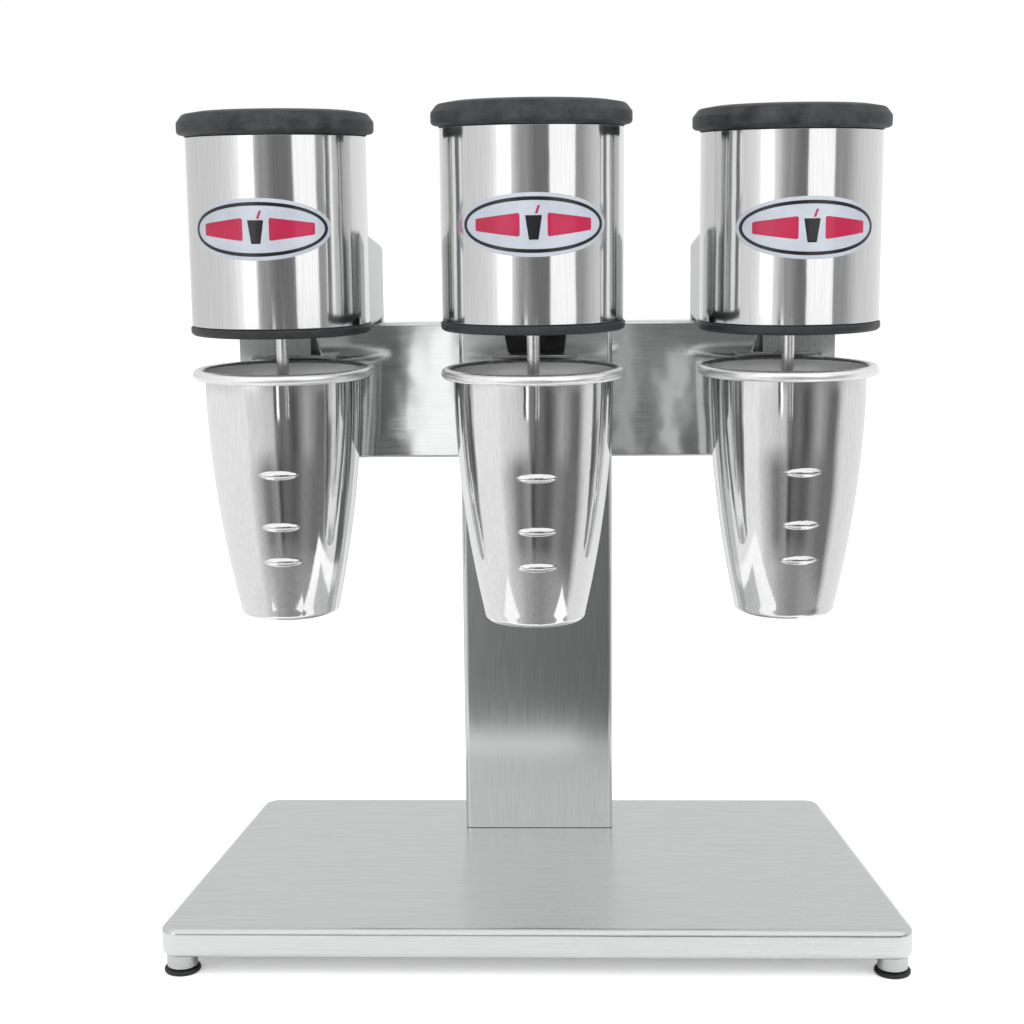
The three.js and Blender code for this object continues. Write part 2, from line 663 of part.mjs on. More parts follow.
function rockerSwitch(side, { switchX, wallBack }) {
  const group = new THREE.Group();
  const paddle = named(`${side}_rocker`, rocker(), switchPlastic);
  paddle.position.y = ROCKER_PIVOT;
  group.add(named(`${side}_switch_body`, switchBody(), switchPlastic));
  group.add(paddle);
  group.position.set(switchX, wallBack, SWITCH_Z);
  return group;
}

// ---------- assembly ----------

const mixer = new THREE.Group();
mixer.add(named('base_pan', basePan(), brushedSteel));
mixer.add(feet());
mixer.add(named('column_tube', columnTube(), brushedSteel));
mixer.add(named('crossbar', crossbar(), brushedSteel));
mixer.add(named('right_bracket', outerBracket(), brushedSteel));
mixer.add(named('left_bracket', mirroredX(outerBracket()), brushedSteel));
mixer.add(named('middle_bracket', middleBracket(), brushedSteel));
mixer.add(named('lead_boot', leadBoot(), blackRubber));
mixer.add(named('cable_gland', cableGland(), blackPlastic));

const outerHead = {
  y: HEAD_FORWARD + HEAD_SETBACK,
  drop: HEAD_DROP,
  cupDrop: CUP_DROP,
  panelY: BAR_FRONT,
  wallBack: BRACKET_BACK,
};
const middleHead = {
  y: HEAD_FORWARD,
  drop: 0,
  cupDrop: 0,
  panelY: COLUMN_FRONT,
  wallBack: COLUMN_BACK,
};
// The badges are stuck on by hand, each a little turned (degrees) and at its own height.
const heads = {
  left: { ...outerHead, x: -HEAD_SPACING, switchX: -SWITCH_X, badgeTurn: -5, badgeZ: 415 },
  middle: { ...middleHead, x: 0, switchX: 0, badgeTurn: 2, badgeZ: 416.5 },
  right: { ...outerHead, x: HEAD_SPACING, switchX: SWITCH_X, badgeTurn: 6.5, badgeZ: 413 },
};
for (const [side, place] of Object.entries(heads)) {
  mixer.add(motorHead(side, place));
  mixer.add(hungCup(side, place));
  mixer.add(rockerSwitch(side, place));
}

export default mixer;
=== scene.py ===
"""Looks of the triple-head milkshake mixer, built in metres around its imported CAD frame."""
import json
from math import asin, cos, hypot, pi, radians, sin, tan

import bmesh
import bpy
from mathutils import Matrix, Vector

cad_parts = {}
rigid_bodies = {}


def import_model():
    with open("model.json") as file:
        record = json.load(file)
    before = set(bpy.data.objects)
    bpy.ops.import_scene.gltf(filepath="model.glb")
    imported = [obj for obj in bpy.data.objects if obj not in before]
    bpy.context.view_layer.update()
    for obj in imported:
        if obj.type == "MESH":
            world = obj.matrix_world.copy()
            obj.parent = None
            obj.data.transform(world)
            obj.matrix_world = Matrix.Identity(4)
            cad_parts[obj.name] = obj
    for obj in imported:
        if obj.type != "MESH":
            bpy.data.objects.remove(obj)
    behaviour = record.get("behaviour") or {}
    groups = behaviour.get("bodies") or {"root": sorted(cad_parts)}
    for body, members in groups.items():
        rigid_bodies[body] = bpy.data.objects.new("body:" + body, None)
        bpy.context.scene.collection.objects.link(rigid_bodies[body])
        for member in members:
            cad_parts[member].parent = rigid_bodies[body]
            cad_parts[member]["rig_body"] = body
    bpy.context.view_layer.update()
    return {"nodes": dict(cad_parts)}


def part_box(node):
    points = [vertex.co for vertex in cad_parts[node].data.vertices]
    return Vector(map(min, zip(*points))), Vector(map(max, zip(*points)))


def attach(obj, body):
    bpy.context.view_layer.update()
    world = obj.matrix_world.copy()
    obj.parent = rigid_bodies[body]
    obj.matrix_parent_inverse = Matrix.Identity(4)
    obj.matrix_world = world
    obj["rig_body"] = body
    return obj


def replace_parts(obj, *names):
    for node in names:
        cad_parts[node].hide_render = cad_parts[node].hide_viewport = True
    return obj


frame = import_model()

MM = 0.001
MICRON = 0.001 * MM
SIDES = ("left", "middle", "right")


# ---------- camera, light and floor ----------

CAMERA_PLACE = (0.0207, -1.0369, 0.4301)
CAMERA_PITCH = 10.02
CAMERA_YAW = -1.90
CAMERA_ROLL = -0.60
CAMERA_LENS = 62.2

# each is a light's name, its place, the point it faces, its size and its watts
LIGHTS = (
    ("key", (-0.9, -1.6, 1.9), (0, 0, 0.25), 1.2, 12),
    ("fill", (1.3, -1.2, 1.4), (0, 0, 0.25), 1.2, 14),
    ("front", (-0.2, -1.9, 0.55), (0, 0, 0.30), 0.9, 9),
    ("rear", (0.3, 1.8, 1.6), (0, 0, 0.30), 1.4, 14),
)


def look_from(place, pitch, yaw, roll, lens):
    """Camera at place, turned by yaw, then tipped down by pitch, then rolled. Angles in degrees."""
    pitch, yaw, roll = (radians(angle) for angle in (pitch, yaw, roll))
    level = Vector((sin(yaw), cos(yaw), 0))
    forward = level * cos(pitch) - Vector((0, 0, sin(pitch)))
    up = level * sin(pitch) + Vector((0, 0, cos(pitch)))
    side = Vector((cos(yaw), -sin(yaw), 0))
    right = side * cos(roll) + up * sin(roll)
    up = right.cross(forward)
    data = bpy.data.cameras.new("camera")
    data.lens = lens
    camera = bpy.data.objects.new("camera", data)
    turn = Matrix((right, up, -forward)).transposed().to_4x4()
    camera.matrix_world = Matrix.Translation(place) @ turn
    bpy.context.scene.collection.objects.link(camera)
    bpy.context.scene.camera = camera


def area_light(name, place, aim, size, watts):
    """Soft square light at place, facing aim, which the steel doesn't mirror."""
    data = bpy.data.lights.new(name, "AREA")
    data.size = size
    data.energy = watts
    light = bpy.data.objects.new(name, data)
    light.location = place
    light.rotation_euler = (Vector(aim) - Vector(place)).to_track_quat("-Z", "Y").to_euler()
    light.visible_glossy = False
    bpy.context.scene.collection.objects.link(light)


def node(tree, kind, inputs=None, **settings):
    """New node with its inputs set to numbers or linked to sockets. inputs maps names or places."""
    new = tree.nodes.new("ShaderNode" + kind)
    for name, value in settings.items():
        setattr(new, name, value)
    for key, value in (inputs or {}).items():
        if isinstance(value, bpy.types.NodeSocket):
            tree.links.new(value, new.inputs[key])
        else:
            new.inputs[key].default_value = value
    return new


def set_ramp(ramp, stops):
    """Grey steps of a colour ramp, as (place, brightness) pairs in order."""
    elements = ramp.color_ramp.elements
    while len(elements) < len(stops):
        elements.new(1)
    for element, (place, value) in zip(elements, stops):
        element.position = place
        element.color = (value, value, value, 1)


# What surrounds the machine, as (compass angle seen from it, brightness): 0 is straight in front and
# 90 is to its right. Level with the heads there is a dark gap in front, and the two soft boxes stand
# either side of it. Below them the left half of the room stays bright and the right half dark, each
# a little differently the further down it is. Straight behind, all of it is a little dimmer.
LEVEL_BANDS = (
    (-180, 0.87), (-160, 0.84), (-140, 0.74), (-80, 0.76), (-58, 0.84), (-50, 0.95), (-44, 1.12),
    (-36, 1.15), (-28, 0.95), (-22, 0.76), (-17, 0.50), (-12, 0.34), (-6, 0.36), (0, 0.25),
    (5, 0.19), (20, 0.19), (58, 0.36), (66, 0.36), (78, 0.58), (90, 0.74), (116, 0.84),
    (140, 0.92), (158, 0.95), (180, 0.87),
)
UPPER_FLOOR_BANDS = (
    (-180, 0.58), (-166, 0.82), (-150, 0.95), (-52, 0.96), (-44, 0.82), (-30, 0.78), (-17, 0.68),
    (-9, 0.66), (-6.5, 0.50), (-4.8, 0.24), (0.5, 0.20), (2.5, 0.14), (7, 0.18), (12, 0.20),
    (17, 0.13), (22, 0.09), (27, 0.14), (32, 0.25), (38, 0.38), (43, 0.44), (48, 0.36), (54, 0.28),
    (60, 0.18), (69, 0.16), (75, 0.40), (81, 0.74), (90, 0.86), (145, 0.92), (166, 0.82), (180, 0.58),
)
MIDDLE_FLOOR_BANDS = (
    (-180, 0.58), (-166, 0.82), (-150, 0.95), (-54, 0.93), (-46, 0.70), (-37, 0.52), (-32, 0.42),
    (-27, 0.28), (-20, 0.21), (-14, 0.28), (-7, 0.34), (-4, 0.22), (-2.5, 0.08), (1, 0.09),
    (4, 0.15), (10, 0.16), (20, 0.12), (27, 0.15), (36, 0.26), (44, 0.25), (54, 0.19), (72, 0.19),
    (82, 0.62), (90, 0.86), (150, 0.95), (166, 0.82), (180, 0.58),
)
NEAR_FLOOR_BANDS = (
    (-180, 0.62), (-160, 0.90), (-54, 0.86), (-44, 0.70), (-30, 0.60), (-20, 0.45), (-10, 0.40),
    (0, 0.33), (15, 0.30), (30, 0.36), (50, 0.40), (75, 0.42), (84, 0.86), (160, 0.90), (180, 0.62),
)
# each set of bands takes over from the one above it between two values of Z in a ray's direction
BAND_STEPS = (
    (UPPER_FLOOR_BANDS, -0.122, -0.098), (MIDDLE_FLOOR_BANDS, -0.31, -0.26),
    (NEAR_FLOOR_BANDS, -0.53, -0.47),
)
CEILING_STEP = (0.15, 0.285)
OVERHEAD_BANDS = ((-180, 0.80), (-90, 0.88), (-20, 1.15), (20, 1.15), (90, 0.88), (180, 0.80))
BRIGHTEST_BAND = 1.5
BACKDROP = (1.0, 1.0, 1.0, 1)


def banded(tree, turn, bands):
    """Grey by compass angle, from -180 to 180 as turn goes from 0 to 1."""
    ramp = node(tree, "ValToRGB", {0: turn})
    set_ramp(ramp, [((angle + 180) / 360, value / BRIGHTEST_BAND) for angle, value in bands])
    inputs = {0: ramp.outputs[0], "Scale": BRIGHTEST_BAND}
    return node(tree, "VectorMath", inputs, operation="SCALE").outputs[0]


def studio_world():
    """White to the eye; to everything else, bands of grey by compass angle under a bright ceiling."""
    world = bpy.data.worlds.new("studio")
    world.use_nodes = True
    bpy.context.scene.world = world
    tree = world.node_tree
    tree.nodes.clear()
    way = node(tree, "TexCoord").outputs["Generated"]
    axes = node(tree, "SeparateXYZ", {0: way}).outputs
    front = node(tree, "Math", {0: axes["Y"], 1: -1.0}, operation="MULTIPLY").outputs[0]
    compass = node(tree, "Math", {0: axes["X"], 1: front}, operation="ARCTAN2").outputs[0]
    turn = node(tree, "MapRange", {"Value": compass, "From Min": -pi, "From Max": pi}).outputs[0]
    height = axes["Z"]
    walls = banded(tree, turn, LEVEL_BANDS)
    for bands, low, high in BAND_STEPS:
        rise = node(tree, "MapRange", {"Value": height, "From Min": low, "From Max": high}).outputs[0]
        walls = node(tree, "MixRGB", {0: rise, 1: banded(tree, turn, bands), 2: walls}).outputs[0]
    low, high = CEILING_STEP
    lift = node(tree, "MapRange", {"Value": height, "From Min": low, "From Max": high}).outputs[0]
    ceiling = banded(tree, turn, OVERHEAD_BANDS)
    room = node(tree, "MixRGB", {0: lift, 1: walls, 2: ceiling}).outputs[0]
    seen = node(tree, "LightPath").outputs["Is Camera Ray"]
    colour = node(tree, "MixRGB", {0: seen, 1: room, 2: BACKDROP}).outputs[0]
    background = node(tree, "Background", {"Color": colour, "Strength": 1.0})
    output = node(tree, "OutputWorld")
    tree.links.new(background.outputs[0], output.inputs[0])


def sheet(name, corners):
    """Four-cornered sheet of the stage."""
    mesh = bpy.data.meshes.new(name)
    mesh.from_pydata(corners, [], [(0, 1, 2, 3)])
    made = bpy.data.objects.new(name, mesh)
    bpy.context.scene.collection.objects.link(made)
    return made


def flat_sheet(name, low, high, height):
    """Horizontal rectangle of the stage between two corners."""
    (x0, y0), (x1, y1) = low, high
    return sheet(name, [(x0, y0, height), (x1, y0, height), (x1, y1, height), (x0, y1, height)])


def mirrored_only(made):
    """Leaves a sheet to be seen in reflections and nowhere else."""
    for ray in ("camera", "diffuse", "transmission", "volume_scatter", "shadow"):
        setattr(made, "visible_" + ray, False)


def paper_material(name, brightness, glow):
    """Matt white paper, with a little light of its own."""
    material = bpy.data.materials.new(name)
    material.use_nodes = True
    shader = material.node_tree.nodes["Principled BSDF"]
    shader.inputs["Base Color"].default_value = (brightness, brightness, brightness, 1)
    shader.inputs["Roughness"].default_value = 0.9
    shader.inputs["Specular IOR Level"].default_value = 0.2
    shader.inputs["Emission Color"].default_value = (1, 1, 1, 1)
    shader.inputs["Emission Strength"].default_value = glow
    return material


# Sheets that are only mirrored: two soft boxes, near enough for each head to show them in another
# place, and four cards behind the camera, which the crossbar shows beside the column.
# Each is its name, its two ends in (x, y), its bottom and top, and its brightness.
CARDS = (
    ("soft_box", (0.40, -0.98), (0.79, -0.57), 0.275, 0.75, 1.25),
    ("left_box", (-1.52, -1.70), (-0.79, -1.80), 0.20, 1.2, 1.5),
    ("dark_card", (-0.262, -1.13), (-0.186, -1.13), 0.09, 0.285, 0.10),
    ("left_card", (-0.182, -1.13), (-0.119, -1.13), 0.09, 0.285, 1.55),
    ("right_card", (0.073, -1.13), (0.109, -1.13), 0.09, 0.285, 0.55),
    ("right_strip", (0.153, -1.13), (0.167, -1.13), 0.09, 0.235, 1.40),
)

FLOOR_HALF = 12.0
# the only parts of the floor that the steel mirrors, as if a table ended just in front
TABLES = (
    ("table_left", (-0.32, -0.25), (0.03, 0.3)),
    ("table_right", (0.03, -0.215), (0.32, 0.3)),
)
TABLE_HEIGHT = 0.5 * MM


def build_stage():
    """Floor, what the steel mirrors, and the lights."""
    floor = flat_sheet("floor", (-FLOOR_HALF, -FLOOR_HALF), (FLOOR_HALF, FLOOR_HALF), 0.0)
    floor.data.materials.append(paper_material("floor_white", 0.95, 0.25))
    floor.visible_glossy = False
    for name, low, high in TABLES:
        table = flat_sheet(name, low, high, TABLE_HEIGHT)
        table.data.materials.append(paper_material(name + "_white", 0.90, 0.0))
        mirrored_only(table)
    for name, left, right, bottom, top, glow in CARDS:
        (x0, y0), (x1, y1) = left, right
        card = sheet(name, [(x0, y0, bottom), (x1, y1, bottom), (x1, y1, top), (x0, y0, top)])
        card.data.materials.append(paper_material(name + "_light", 0.0, glow))
        mirrored_only(card)
    studio_world()
    for name, place, aim, size, watts in LIGHTS:
        area_light(name, place, aim, size, watts)


bpy.context.scene.view_settings.view_transform = "Standard"
look_from(CAMERA_PLACE, CAMERA_PITCH, CAMERA_YAW, CAMERA_ROLL, CAMERA_LENS)
build_stage()


# ---------- materials ----------

def new_material(name, base, roughness, metallic=0.0, **constants):
    """Material with its shader's own sockets set. Returns it, its tree and the shader."""
    material = bpy.data.materials.new(name)
    material.use_nodes = True
    tree = material.node_tree
    shader = tree.nodes["Principled BSDF"]
    shader.inputs["Base Color"].default_value = (*base, 1)
    shader.inputs["Roughness"].default_value = roughness
    shader.inputs["Metallic"].default_value = metallic
    for socket, value in constants.items():
        shader.inputs[socket.replace("_", " ")].default_value = value
    return material, tree, shader


def noise(tree, scale, detail=3.0, stretch=(1, 1, 1), roughness=0.55):
    """Noise by place, with scale features per metre, and stretch times finer along each axis."""
    place = node(tree, "TexCoord").outputs["Object"]
    spread = node(tree, "Mapping", {"Vector": place, "Scale": stretch}).outputs[0]
    inputs = {"Vector": spread, "Scale": scale, "Detail": detail, "Roughness": roughness}
    return node(tree, "TexNoise", inputs).outputs[0]


def remap(tree, value, low, high, from_low=0.3, from_high=0.7):
    """Value that goes from low to high as the given one goes from from_low to from_high."""
    inputs = {"Value": value, "From Min": from_low, "From Max": from_high, "To Min": low, "To Max": high}
    return node(tree, "MapRange", inputs).outputs[0]


def tint(tree, value, dark, light):
    """Colour between dark and light as value goes from 0.3 to 0.7."""
    share = remap(tree, value, 0.0, 1.0)
    return node(tree, "MixRGB", {0: share, 1: (*dark, 1), 2: (*light, 1)}).outputs[0]


def bump(tree, shader, height, distance, strength=1.0, below=None):
    """Bump of a height value, distance deep, on the shader, over another bump if one is given."""
    inputs = {"Height": height, "Distance": distance, "Strength": strength}
    if below:
        inputs["Normal"] = below
    raised = node(tree, "Bump", inputs).outputs[0]
    tree.links.new(raised, shader.inputs["Normal"])
    return raised


# features per metre of the steel's brushing (before it is stretched), hand marks and waviness
BRUSH_LINES = 34
SMEARS = 9
SHEET_WAVES = 24


def shade(base, share):
    """Colour made darker, or lighter, by a share."""
    return tuple(share * channel for channel in base)


def steel(name, base, smooth, rough, stretch, depth, metallic=1.0, waves=0.0):
    """Stainless steel with a grain stretched along the brushing, and faint hand marks over it.

    The brushing is depth deep, and its roughness goes from smooth to rough. waves is how far the
    sheet wanders from its true surface, which bends its reflections.
    """
    material, tree, shader = new_material(name, base, rough, metallic)
    lines = noise(tree, BRUSH_LINES, 4.0, stretch)
    smears = noise(tree, SMEARS, 2.0)
    mixed = node(tree, "Math", {0: lines, 1: smears}, operation="ADD").outputs[0]
    half = node(tree, "Math", {0: mixed, 1: 0.5}, operation="MULTIPLY").outputs[0]
    tree.links.new(remap(tree, half, smooth, rough), shader.inputs["Roughness"])
    tree.links.new(tint(tree, lines, shade(base, 0.86), base), shader.inputs["Base Color"])
    swell = bump(tree, shader, noise(tree, SHEET_WAVES, 1.5), waves) if waves else None
    bump(tree, shader, lines, depth, below=swell)
    return material


def grained_plastic(name, base, worn, roughness):
    """Black moulded plastic: fine leathery grain, dusty where it is handled."""
    material, tree, shader = new_material(name, base, roughness, 0.0, Specular_IOR_Level=0.35)
    grain = noise(tree, 600, 3.0)
    wear = noise(tree, 80, 5.0, roughness=0.7)
    tree.links.new(tint(tree, wear, base, worn), shader.inputs["Base Color"])
    tree.links.new(remap(tree, wear, roughness - 0.08, roughness + 0.15), shader.inputs["Roughness"])
    bump(tree, shader, grain, 0.4 * MM, 0.8)
    return material


def rubber(name, base, roughness):
    """Matt rubber with a little dust in its fine grain."""
    material, tree, shader = new_material(name, base, roughness, 0.0, Specular_IOR_Level=0.3)
    dust = noise(tree, 130, 4.0)
    tree.links.new(tint(tree, dust, base, shade(base, 2.2)), shader.inputs["Base Color"])
    bump(tree, shader, noise(tree, 700, 2.0), 0.12 * MM, 0.6)
    return material


def enamel(name, base, roughness):
    """Coloured resin under a clear coat, faintly uneven."""
    material, tree, shader = new_material(name, base, roughness, 0.0, Coat_Weight=0.35,
                                          Coat_Roughness=0.06, Specular_IOR_Level=0.35)
    cloud = noise(tree, 60, 3.0)
    tree.links.new(tint(tree, cloud, shade(base, 0.85), base), shader.inputs["Base Color"])
    bump(tree, shader, cloud, 0.3 * MM, 0.15)
    return material


LAMINATION = 0.7 * MM


def laminations(name, base):
    """Stack of thin iron sheets under brown varnish."""
    material, tree, shader = new_material(name, base, 0.5, 0.8)
    place = node(tree, "TexCoord").outputs["Object"]
    height = node(tree, "SeparateXYZ", {0: place}).outputs["Z"]
    wave = node(tree, "Math", {0: height, 1: 2 * pi / LAMINATION}, operation="MULTIPLY").outputs[0]
    sheets = node(tree, "Math", {0: wave}, operation="SINE").outputs[0]
    lifted = remap(tree, sheets, 0.0, 1.0, -1.0, 1.0)
    bump(tree, shader, lifted, 0.1 * MM, 0.6)
    stain = noise(tree, 80, 3.0)
    tree.links.new(tint(tree, stain, shade(base, 0.7), base), shader.inputs["Base Color"])
    return material


STEEL = (0.70, 0.71, 0.71)
DULL = (0.57, 0.58, 0.58)
# painted shade: the foot collars are a darker copy of the turned steel, standing in for the darker
# surroundings that they mirror
FERRULE_PAINTED_SHADE = (0.56, 0.57, 0.57)
BRIGHT = (0.80, 0.805, 0.80)
CUP = (0.84, 0.845, 0.84)
# painted highlight: the rolled rim is a lighter copy of the cup steel, which lifts it as a highlight
# would; its satin roughness is its own finish
RIM_PAINTED_HIGHLIGHT = (0.90, 0.905, 0.90)
# painted light: the cup's inside is a still lighter, hardly metallic copy of the cup steel, which makes up
# for the shade under the head
INNER_PAINTED_LIGHT = (0.94, 0.945, 0.94)
# how much finer the brushing is along each axis: across the machine, upwards, or round a turned piece
ACROSS = (1.2, 60, 60)
UP = (60, 60, 1.0)
UP_CUP = (40, 40, 1.5)
ROUND = (2, 2, 60)
TURNED = (3, 3, 60)
MATERIALS = {
    "deck": steel("deck_steel", STEEL, 0.21, 0.29, ACROSS, 2.2 * MICRON),
    "upright": steel("upright_steel", STEEL, 0.13, 0.20, UP, 3 * MICRON),
    "bracket": steel("bracket_steel", DULL, 0.24, 0.32, UP, 3 * MICRON),
    "bar": steel("bar_steel", STEEL, 0.06, 0.10, ACROSS, 3 * MICRON, waves=0.4 * MM),
    "housing": steel("housing_steel", BRIGHT, 0.07, 0.12, UP, 3 * MICRON, waves=0.3 * MM),
    "cup": steel("cup_steel", CUP, 0.05, 0.09, UP_CUP, 3 * MICRON, waves=0.4 * MM),
    # the cup's inside and rim below are lighter copies of the cup steel: painted light against the shade
    # inside, and a painted highlight on the rim
    "inner": steel("cup_inner_painted_light", INNER_PAINTED_LIGHT, 0.34, 0.42, ROUND, 3 * MICRON, metallic=0.2),
    "rim": steel("cup_rim_painted_highlight", RIM_PAINTED_HIGHLIGHT, 0.24, 0.32, ROUND, 3 * MICRON, metallic=0.85),
    "turned": steel("turned_steel", BRIGHT, 0.14, 0.22, TURNED, 5 * MICRON),
    # painted shade: a darker copy of the turned steel, for the foot collars
    "ferrule": steel("ferrule_painted_shade_steel", FERRULE_PAINTED_SHADE, 0.20, 0.28, TURNED, 5 * MICRON),
    "lid": grained_plastic("lid_plastic", (0.008, 0.009, 0.011), (0.044, 0.046, 0.049), 0.50),
    "flange": grained_plastic("flange_plastic", (0.012, 0.013, 0.015), (0.026, 0.027, 0.030), 0.38),
    "switch": grained_plastic("switch_plastic", (0.010, 0.010, 0.011), (0.020, 0.020, 0.022), 0.28),
    "rubber": rubber("foot_rubber", (0.010, 0.010, 0.011), 0.58),
    "badge": enamel("badge_silver", (0.37, 0.40, 0.45), 0.28),
    "badge_dark": enamel("badge_black", (0.008, 0.008, 0.010), 0.30),
    "badge_red": enamel("badge_crimson", (0.34, 0.006, 0.045), 0.30),
    "iron": laminations("laminated_iron", (0.34, 0.33, 0.32)),
    "copper": laminations("armature_copper", (0.50, 0.27, 0.14)),
    "mark": enamel("switch_mark", (0.75, 0.75, 0.72), 0.40),
}


# ---------- mesh helpers ----------

WELD = 0.1 * MICRON       # points this near each other are one
SHARP = 40                # an edge that bends more than this many degrees is shaded sharp


def finish_mesh(name, build, body, material, sharp=SHARP):
    """Object from a bmesh, with outward faces, smooth but for edges sharper than sharp degrees."""
    bmesh.ops.remove_doubles(build, verts=build.verts, dist=WELD)
    bmesh.ops.recalc_face_normals(build, faces=build.faces)
    mesh = bpy.data.meshes.new(name)
    build.to_mesh(mesh)
    build.free()
    mesh.shade_smooth()
    mesh.set_sharp_from_angle(angle=radians(sharp))
    piece = bpy.data.objects.new(name, mesh)
    bpy.context.scene.collection.objects.link(piece)
    mesh.materials.append(MATERIALS[material])
    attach(piece, body)
    return piece


def rounded(points, steps=6, closed=False):
    """Points of a path whose corners (x, y, radius) are rounded by arcs."""
    path = []
    last = len(points) - 1
    for i, (x, y, radius) in enumerate(points):
        here = Vector((x, y))
        if radius == 0 or (not closed and i in (0, last)):
            path.append(here)
            continue
        before = (Vector(points[i - 1][:2]) - here).normalized()
        after = (Vector(points[(i + 1) % len(points)][:2]) - here).normalized()
        half = before.angle(after) / 2
        centre = here + (before + after).normalized() * (radius / sin(half))
        start = here + before * (radius / tan(half)) - centre
        stop = here + after * (radius / tan(half)) - centre
        sweep = start.angle_signed(stop)
        for k in range(steps + 1):
            turn = Matrix.Rotation(-sweep * k / steps, 2)
            path.append(centre + turn @ start)
    return path


def connect(build, rings, closed_path):
    """Faces between successive rings of vertices."""
    for lower, upper in zip(rings, rings[1:]):
        count = len(lower)
        for i in range(count if closed_path else count - 1):
            j = (i + 1) % count
            face = [lower[i], lower[j], upper[j], upper[i]]
            unique = [v for k, v in enumerate(face) if v is not face[k - 1]]
            if len(unique) > 2:
                build.faces.new(unique)


def swept_round(build, profile, place, steps, closed=False):
    """Faces of a (radius, height) profile swept round an axis, where place makes each point.

    A closed profile goes round on itself; an open one may start and end on the axis, where it has
    one point only. Returns the columns of vertices, one for each angle.
    """
    columns = []
    poles = {}
    for k in range(steps):
        angle = 2 * pi * k / steps
        column = []
        for i, (radius, height) in enumerate(profile):
            on_axis = radius < WELD
            if not (on_axis and i in poles):
                vertex = build.verts.new(place(radius, height, angle))
                if on_axis:
                    poles[i] = vertex
            column.append(poles[i] if on_axis else vertex)
        columns.append(column)
    columns.append(columns[0])
    connect(build, columns, closed)
    return columns


def turned(name, profile, centre, body, material, steps=96, closed=False, laid=False):
    """Body of revolution about a Z line through centre (x, y), from (radius, z) points.

    With laid, the axis lies along Y instead, and centre is (x, z).
    """
    def place(radius, height, angle):
        across, along = centre[0] + radius * cos(angle), centre[1] + radius * sin(angle)
        return (across, height, along) if laid else (across, along, height)

    build = bmesh.new()
    swept_round(build, profile, place, steps, closed)
    return crisp(finish_mesh(name, build, body, material))


def with_normals(corners, steps=6):
    """Closed outline as (point, outward normal) pairs, from corners (x, y, radius)."""
    points = rounded(corners, steps, closed=True)
    count = len(points)
    area = sum(points[i - 1].cross(points[i]) for i in range(count))
    way = 1 if area > 0 else -1
    pairs = []
    for i, spot in enumerate(points):
        before = (spot - points[i - 1]).normalized()
        after = (points[(i + 1) % count] - spot).normalized()
        edge = before + after
        normal = Vector((edge.y, -edge.x)).normalized() * way
        pairs.append((spot, normal))
    return pairs


def rectangle(x0, y0, x1, y1, radius):
    """Rounded rectangle, as with_normals takes it."""
    return [(x0, y0, radius), (x1, y0, radius), (x1, y1, radius), (x0, y1, radius)]


def stacked(name, outline, levels, place, body, material, sharp=SHARP):
    """Closed mesh through copies of an outline. Each level is (inset, height)."""
    build = bmesh.new()
    rings = []
    for inset, height in levels:
        ring = [build.verts.new(place(*(spot - normal * inset), height)) for spot, normal in outline]
        rings.append(ring)
    connect(build, rings, True)
    build.faces.new(rings[0])
    build.faces.new(rings[-1])
    return finish_mesh(name, build, body, material, sharp)


def edge_levels(low, high, radius, steps=4):
    """Levels of a slab whose two rims are rounded by radius."""
    turns = [pi / 2 * k / steps for k in range(steps + 1)]
    lower = [(radius * (1 - sin(t)), low + radius * (1 - cos(t))) for t in turns]
    upper = [(radius * (1 - cos(t)), high - radius * (1 - sin(t))) for t in turns]
    return lower + upper


def plan(x, y, z):
    """Outline drawn in (X, Y), depth along Z."""
    return x, y, z


def facing(x, z, y):
    """Outline drawn in (X, Z), depth along Y."""
    return x, y, z


def cut_boxes(piece, boxes):
    """Cuts axis-aligned boxes, each (low corner, high corner), out of a piece."""
    for low, high in boxes:
        build = bmesh.new()
        bmesh.ops.create_cube(build, size=1)
        for vertex in build.verts:
            vertex.co = [(a + b) / 2 + (b - a) * c for a, b, c in zip(low, high, vertex.co)]
        mesh = bpy.data.meshes.new("cutter")
        build.to_mesh(mesh)
        build.free()
        cutter = bpy.data.objects.new("cutter", mesh)
        bpy.context.scene.collection.objects.link(cutter)
        carve = piece.modifiers.new("carve", "BOOLEAN")
        carve.operation = "DIFFERENCE"
        carve.solver = "EXACT"
        carve.object = cutter
        bake_modifiers(piece)
        bpy.data.objects.remove(cutter)
    piece.data.set_sharp_from_angle(angle=radians(SHARP))


def bake_modifiers(piece):
    """Applies a piece's modifiers to its own mesh."""
    bpy.context.view_layer.update()
    ready = piece.evaluated_get(bpy.context.evaluated_depsgraph_get())
    mesh = bpy.data.meshes.new_from_object(ready)
    piece.modifiers.clear()
    old = piece.data
    piece.data = mesh
    mesh.name = piece.name
    bpy.data.meshes.remove(old)


def crisp(piece):
    """Shades a piece's large flat faces flat, right up to their rounded edges."""
    weigh = piece.modifiers.new("weigh", "WEIGHTED_NORMAL")
    weigh.keep_sharp = True
    bake_modifiers(piece)
    return piece


FLAT = radians(1.5)       # faces that bend less than this are one
CREASE = radians(50)      # an edge that bends more than this is a fold or a cut


def sheet_metal(node_name, material, fold):
    """Folded sheet piece from its CAD solid: flat faces merged, every fold and cut edge eased."""
    source = frame["nodes"][node_name]
    build = bmesh.new()
    build.from_mesh(source.data)
    bmesh.ops.remove_doubles(build, verts=build.verts, dist=MICRON)
    bmesh.ops.dissolve_limit(build, angle_limit=FLAT, verts=build.verts, edges=build.edges)
    sharp = [e for e in build.edges if len(e.link_faces) == 2 and e.calc_face_angle() > CREASE]
    bmesh.ops.bevel(build, geom=sharp, offset=fold, segments=3, profile=0.5, affect="EDGES",
                    clamp_overlap=True)
    body = source["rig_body"]
    piece = finish_mesh(node_name + "_sheet", build, body, material, 35)
    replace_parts(crisp(piece), node_name)


def middle_of(node_name):
    low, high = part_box(node_name)
    return (low + high) / 2


# ---------- base, feet, column and crossbar ----------

